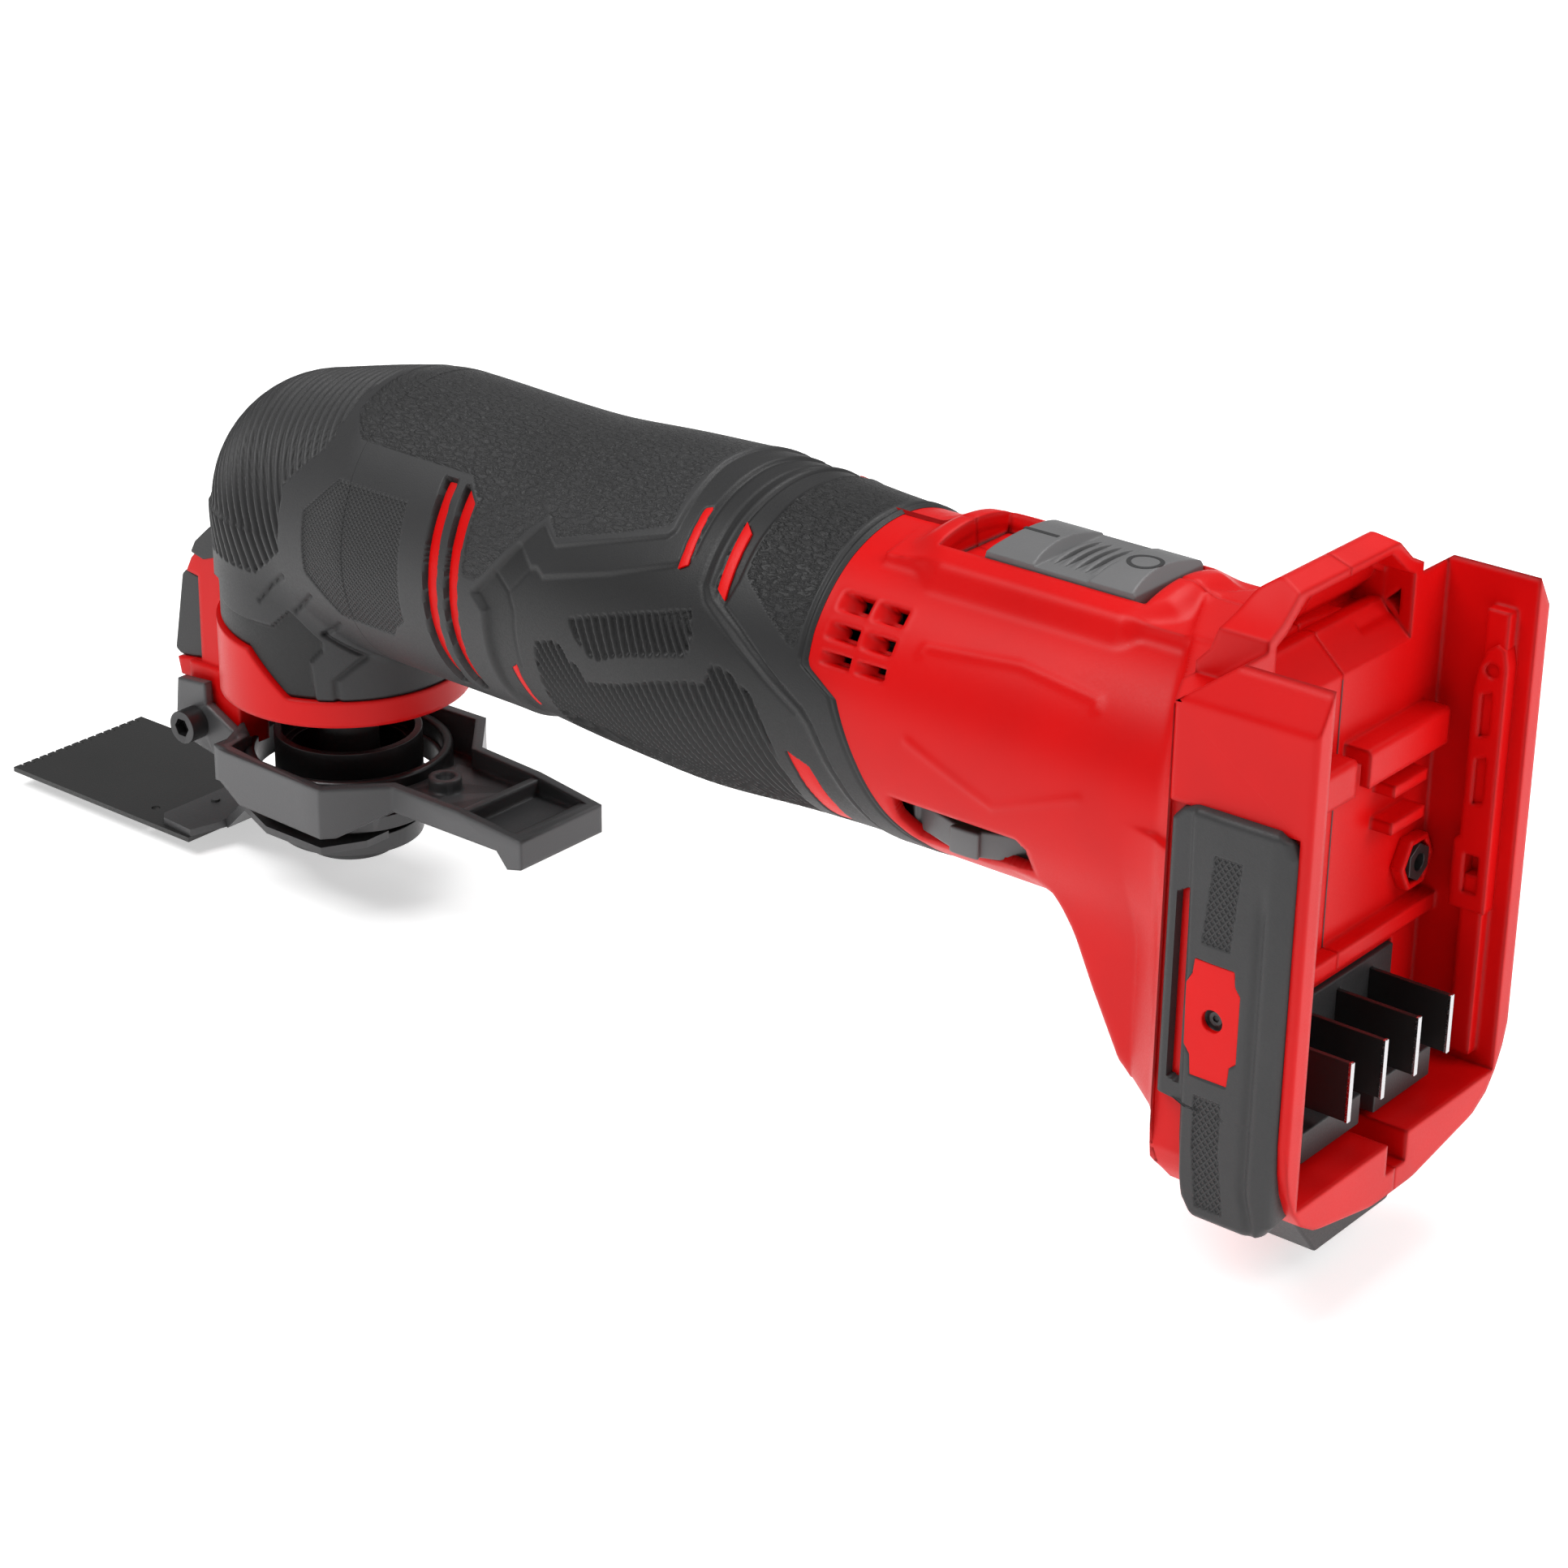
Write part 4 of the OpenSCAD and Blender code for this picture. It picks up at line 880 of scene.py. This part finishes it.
def rounded_copy(node, name, body, width, small, centre=None, cut_x=None, shortest=2.5):
    """A copy of a CAD part with its long outer edges rounded by width and the others by small.

    cut_x keeps only what lies behind that plane. Where shortest is 10 or more, the rounding isn't held
    back by the edges next to it.
    """
    mesh = frame["nodes"][node].data.copy()
    bm = bmesh.new()
    bm.from_mesh(mesh)
    bmesh.ops.remove_doubles(bm, verts=bm.verts, dist=SAME_PLACE)
    if cut_x is not None:
        cut = bmesh.ops.bisect_plane(bm, geom=bm.verts[:] + bm.edges[:] + bm.faces[:],
                                     plane_co=(cut_x * MM, 0, 0), plane_no=(1, 0, 0), clear_inner=True)
        edges = [g for g in cut["geom_cut"] if isinstance(g, bmesh.types.BMEdge)]
        bmesh.ops.triangle_fill(bm, edges=edges, use_beauty=True)
    bmesh.ops.recalc_face_normals(bm, faces=bm.faces)
    bmesh.ops.dissolve_limit(bm, angle_limit=math.radians(FLAT_ANGLE), verts=bm.verts, edges=bm.edges)
    # very short edges next to the ones that get rounded would hold the rounding back, so they are closed
    for _ in range(3):
        bm.normal_update()
        rounded = outer_edges(bm, centre, cut_x, shortest)
        chosen = set(rounded)
        merge = {}
        for e in rounded:
            for v in e.verts:
                for o in v.link_edges:
                    w = o.other_vert(v)
                    taken = w in merge or v in merge or w in merge.values()
                    if o not in chosen and o.calc_length() < SHORT_EDGE * MM and not taken:
                        merge[w] = v
        if not merge:
            break
        bmesh.ops.weld_verts(bm, targetmap=merge)
    bm.normal_update()
    rounded = outer_edges(bm, centre, cut_x, shortest)
    chosen = set(rounded)
    room = 1.1 * width * MM
    free = [e for e in rounded
            if all(o in chosen or o.calc_length() > room for v in e.verts for o in v.link_edges)]
    bmesh.ops.bevel(bm, geom=free, offset=width * MM, offset_type="OFFSET", segments=4, profile=0.5,
                    affect="EDGES", clamp_overlap=shortest < 10)
    bmesh.ops.recalc_face_normals(bm, faces=bm.faces)
    bm.to_mesh(mesh)
    bm.free()
    if "custom_normal" in mesh.attributes:
        mesh.attributes.remove(mesh.attributes["custom_normal"])
    mesh.shade_smooth()
    add_piece(name, mesh, slot_of[node], body, node, small)


FOOT_MIDDLE = (222, 0, 50)
FOOT_CUT = 206.9  # the body skin stands in for the housing in front of this plane
for side, word in SIDES:
    body_half(side, word + "_housing")
    rounded_copy(word + "_housing", word + "_foot", "housing", 0.9, 0.3, FOOT_MIDDLE, FOOT_CUT, 11)
rounded_copy("release_lever", "lever_casting", "lever", 0.8, 0.3)
rounded_copy("nose_pad", "nose_pad_moulding", "housing", 1.0, 0.3)
rounded_copy("head_shell", "head_casting", "housing", 0.6, 0.3)

# ---------- side bumpers and their inlays ----------

# Front and rear edges of a bumper, as [height, mm along the tool]; the rest as [mm along the tool, height]
BUMPER_FRONT = [(6.9, 221), (8, 219.2), (10, 217.8), (14, 216.7), (20, 216.3), (25.8, 216.2),
                (26.2, 211.8), (72.6, 211.8), (74.6, 213.6), (75.9, 216.2)]
BUMPER_REAR = [(6.9, 231.2), (7.6, 232.8), (9.5, 234.2), (72, 234.4), (74.5, 233.4), (75.9, 231)]
HATCH_PATCHES = [[(220.8, 69.3), (225.8, 69.3), (224.6, 54.3), (219.3, 54.3)],
                 [(219.5, 28.5), (224.7, 28.5), (224.8, 20), (226.3, 9.3), (221, 9.3), (219.7, 20)]]
INLAY = [(218.3, 51.4), (225.5, 51.4), (225.8, 48.8), (226.8, 47.5), (226.8, 36), (225.6, 35),
         (225.4, 31.6), (218.6, 31.6), (218.3, 35), (217.2, 36.5), (217, 47), (218, 48.8)]
BUMPER_GAP = [(214, 29.5), (216.2, 28.8), (216.3, 62.4), (214, 61)]


BUMPER_LOW, BUMPER_HIGH = 6.9, 75.9
FOOT_HALF = 34
SCREW = (222, 41.8)


def bumper(side, word):
    """A rubber side bumper; t is how far it stands out from the flat side of the foot."""
    nu, nv = 264, 84
    z = np.broadcast_to(np.linspace(BUMPER_LOW, BUMPER_HIGH, nu + 1)[:, None], (nu + 1, nv + 1))
    front, rear = along(BUMPER_FRONT, z), along(BUMPER_REAR, z)
    x = front + np.linspace(0, 1, nv + 1)[None, :] * (rear - front)
    edge = np.minimum(np.minimum(x - front, rear - x), np.minimum(z - BUMPER_LOW, BUMPER_HIGH - z))
    t = 1.5 + 0.25 * smooth(217, 222, x)
    t = t - 0.75 * (1 - smooth(216.4, 217.6, x + 0.02 * (z - 40)))
    t -= 0.55 * ridge(x - 229.4 - 1.6 * smooth(16, 8, z), 0.8) * smooth(68, 60, z)
    t -= 0.9 * smooth(230.5, 234.4, x)
    t -= 1.6 * (1 - np.sqrt(np.clip(1 - (1 - np.clip(edge / 1.5, 0, 1)) ** 2, 0, 1)))
    knurl = sum(smooth(0, 0.2, within(p, x, z)) for p in HATCH_PATCHES)
    t -= 0.15 * knurl
    t -= (t + 1.15) * smooth(0, 0.2, within(BUMPER_GAP, x, z))
    t -= 0.5 * smooth(-0.1, 0.2, within(INLAY, x, z))
    t -= 1.2 * smooth(2.5, 2.0, np.hypot(x - SCREW[0], z - SCREW[1]))
    outer = np.stack([x, side * (FOOT_HALF + t), z], -1)
    under = along([(height, across) for across, height in FOOT_OUTLINE[6:0:-1]], z)
    inner = np.stack([x, side * np.minimum(under - 0.6, 32.7), z], -1)[::STEP, ::STEP]
    none = np.zeros_like(x)
    skin(f"{word}_bumper_skin", outer, inner, STEP, "housing", f"{word}_bumper", "grip_rubber",
         attribute_sets(x, z * 0.8, none, knurl))


def circle(x, z, r, n=32):
    angles = [2 * math.pi * k / n for k in range(n)]
    return [(x + r * math.cos(a), z + r * math.sin(a)) for a in angles]


def plate(name, outline, y0, y1, slot, node, edge, holes=(), turned=False):
    """A flat plate on the housing, with holes through it, from y0 to y1 across the tool.

    Its outline is in the side view. When turned, it is in the rear view, and y0 and y1 are along the tool.
    """
    bm = bmesh.new()
    edges = []
    for points in [outline, *holes]:
        ring = [bm.verts.new(Vector((y0, p, q) if turned else (p, y0, q)) * MM) for p, q in points]
        edges += [bm.edges.new((p, q)) for p, q in zip(ring, ring[1:] + ring[:1])]
    made = bmesh.ops.triangle_fill(bm, edges=edges, use_beauty=True)
    faces = [g for g in made["geom"] if isinstance(g, bmesh.types.BMFace)]
    grown = bmesh.ops.extrude_face_region(bm, geom=faces, use_keep_orig=True)
    moved = [g for g in grown["geom"] if isinstance(g, bmesh.types.BMVert)]
    step = (y1 - y0) * MM
    bmesh.ops.translate(bm, verts=moved, vec=(step, 0, 0) if turned else (0, step, 0))
    bmesh.ops.recalc_face_normals(bm, faces=bm.faces)
    mesh = bpy.data.meshes.new(name)
    bm.to_mesh(mesh)
    bm.free()
    mesh.shade_smooth()
    add_piece(name, mesh, slot, "housing", node, edge)


NOSE_CAP = [(-28.6, 48.7), (-27.2, 51.3), (-22.8, 55.3), (-19, 55.3), (-19, 50), (-25, 47.9)]
plate("nose_cap", NOSE_CAP, -12.9, 12.9, "grip_rubber", None, 0.5)
for side, word in SIDES:
    bumper(side, word)
    plate(f"{word}_inlay_plate", INLAY, side * 34.4, side * 35.55, "red_inlay", f"{word}_inlay", 0.2,
          [circle(*SCREW, 1.85)])
    plate(f"{word}_bumper_screw", circle(*SCREW, 1.25), side * 33.8, side * 34.4, "black_screw",
          "bumper_screws", 0.2, [circle(*SCREW, 0.55, 6)])
    plate(f"{word}_gap_strip", BUMPER_GAP, side * 32.75, side * 33.3, "red_shell", None, 0.08)

# ---------- battery dock ----------

RAIL = [(226.6, 40), (226.6, 52), (227.6, 52.6), (227.6, 78), (228.2, 82), (229.6, 85.4), (231.2, 86.6),
        (232.6, 85.8), (233.2, 83), (233.2, 40)]
RAIL_HOLES = [circle(230.6, 82, 1.25),
              [(229.2, 77.6), (231, 78.4), (231, 71), (229.2, 70.4)],
              [(229.2, 66.4), (231, 67.2), (231, 59.2), (229.2, 58.6)],
              [(228.8, 49.8), (231.4, 49.8), (231.4, 43), (228.8, 43)]]
NUT_Y, NUT_Z = 24.5, 47
TERMINAL_THICK = 0.9
TERMINAL_EDGE = [(234.8, 20.5), (235.42, 20.5), (235.42, 31), (234.8, 31)]
DOCK_SEAM = [(-0.15, 40), (-0.15, 71), (-0.15, 86), (0.15, 86), (0.15, 71), (0.15, 40)]
for side, word in SIDES:
    plate(f"{word}_dock_rail", RAIL, side * 26.9, side * 30.2, "red_shell", None, 0.45, RAIL_HOLES)
    plate(f"{word}_nut_boss", circle(side * NUT_Y, NUT_Z, 5.1, 6), 219.4, 221.9, "red_shell", None, 0.3,
          [circle(side * NUT_Y, NUT_Z, 3.9, 6)], turned=True)
# the lowest housing screw lies near the surface of the foot, and this boss covers it
plate("foot_screw_boss", circle(213.2, 8.6, 4.2), -10, 29, "red_shell", None, 0.4)
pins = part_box("terminals")
pitch = ((pins[1].y - pins[0].y) / MM - TERMINAL_THICK) / 3
for i in range(4):
    y = pins[0].y / MM + TERMINAL_THICK / 2 + i * pitch
    plate(f"terminal_edge_{i + 1}", TERMINAL_EDGE, y - 0.5, y + 0.5, "bare_steel", None, 0.12)
plate("dock_seam", DOCK_SEAM, 219.3, 219.56, "black_plastic", None, 0.02, turned=True)

# ---------- marks on the slide switch ----------


def mark(name, path, width, radius, closed=False):
    """A thin dark bead laid along a path of [mm along, mm round] on the crown of the slider."""
    n = len(path)
    points, faces = [], []
    for i, (px, ps) in enumerate(path):
        bx, bs = path[(i - 1) % n] if closed or i else path[0]
        nx, ns = path[(i + 1) % n] if closed or i < n - 1 else path[-1]
        length = math.hypot(nx - bx, ns - bs)
        ox, os = -(ns - bs) / length * width / 2, (nx - bx) / length * width / 2
        for k, r in ((1, radius - 0.3), (1, radius + 0.05), (-1, radius + 0.05), (-1, radius - 0.3)):
            a = (ps + k * os) / radius
            points.append(((px + k * ox) * MM, r * math.sin(a) * MM, (AXIS + r * math.cos(a)) * MM))
    for i in range(n if closed else n - 1):
        a, b = 4 * i, 4 * ((i + 1) % n)
        faces += [(a + j, a + (j + 1) % 4, b + (j + 1) % 4, b + j) for j in range(4)]
    if not closed:
        faces += [(0, 1, 2, 3), (4 * n - 1, 4 * n - 2, 4 * n - 3, 4 * n - 4)]
    add_piece(name, closed_mesh(name, points, faces), "black_plastic", "switch")


SLIDER_R = 30.9  # radius of the slider's crown round the grip axis
mark("on_mark", [(158.7 + i * 0.67, 0) for i in range(11)], 0.9, SLIDER_R)
mark("off_mark", circle(182.3, 0, 2.7, 40), 0.75, SLIDER_R, closed=True)

# ---------- ring in the dish of the lever ----------


def ring(name, profile, slot, body, edge, n=96):
    """A turned ring about the blade's axis with a closed profile of [radius, height]."""
    k = len(profile)
    points, faces = [], []
    for i in range(n):
        angle = 2 * math.pi * i / n
        points += [(r * math.cos(angle) * MM, r * math.sin(angle) * MM, z * MM) for r, z in profile]
        a, b = i * k, (i + 1) % n * k
        faces += [(a + j, b + j, b + (j + 1) % k, a + (j + 1) % k) for j in range(k)]
    add_piece(name, closed_mesh(name, points, faces), slot, body, edge=edge)


GUARD = [(18.2, 6.2), (18.2, 12.4), (18.8, 12.9), (19.7, 12.9), (20.2, 12.4), (20.2, 6.2)]
ring("lever_guard_ring", GUARD, "holder_steel", "lever", 0.25)

# ---------- stage, light and camera ----------


FLOOR_HALF = 12  # metres
PAINT = (0.9, 0.9, 0.9, 1)
WHITE = (1, 1, 1, 1)


def floor(z):
    """A pale square that glows a little, so that it stays pale away from the lamps."""
    d = FLOOR_HALF
    mesh = bpy.data.meshes.new("floor")
    mesh.from_pydata([(-d, -d, z), (d, -d, z), (d, d, z), (-d, d, z)], [], [(0, 1, 2, 3)])
    paint = bpy.data.materials.new("floor_paint")
    paint.use_nodes = True
    b = paint.node_tree.nodes["Principled BSDF"]
    socket(b, "Base Color", PAINT)
    socket(b, "Roughness", 0.9)
    socket(b, "Emission Color", WHITE)
    socket(b, "Emission Strength", 0.5)
    mesh.materials.append(paint)
    add_object("floor", mesh)


low, high = cad_box
DROP = 3.3 * MM  # the clamp lets the blade down by 3 mm, and the floor leaves room for that
floor(low.z - DROP)


def lamp(name, where, size, power):
    """A square area lamp aimed at the middle of the part."""
    data = bpy.data.lights.new(name, "AREA")
    data.shape = "RECTANGLE"
    data.size, data.size_y = size, size
    data.energy = power
    obj = add_object(name, data)
    obj.location = where
    obj.rotation_euler = (Vector(where) - (low + high) / 2).to_track_quat("Z", "Y").to_euler()


lamp("key", (-0.25, -0.75, 1.35), 0.75, 15)
lamp("rear", (1.1, 0.2, 0.75), 0.7, 7)
lamp("top", (0.1, 0.55, 1.1), 0.6, 6)
world = bpy.data.worlds.new("studio")
world.use_nodes = True
background = world.node_tree.nodes["Background"]
socket(background, "Color", WHITE)
socket(background, "Strength", 0.22)
bpy.context.scene.world = world

# The photo's camera: place, and the directions to the right and down in its picture
CAMERA_AT = Vector((0.4928405, -0.4729615, 0.3105647))
RIGHT = Vector((0.77320556, 0.63404364, 0.01190872))
DOWN = Vector((0.26911211, -0.31105785, -0.91149421))
camera_data = bpy.data.cameras.new("camera")
camera_data.sensor_width = 36
camera_data.lens = 87.29
camera_data.clip_start = 0.01
camera = add_object("camera", camera_data)
turn = Matrix((RIGHT, -DOWN, -RIGHT.cross(DOWN))).transposed().to_4x4()
camera.matrix_world = Matrix.Translation(CAMERA_AT) @ turn
bpy.context.scene.camera = camera
bpy.context.scene.view_settings.view_transform = "Standard"
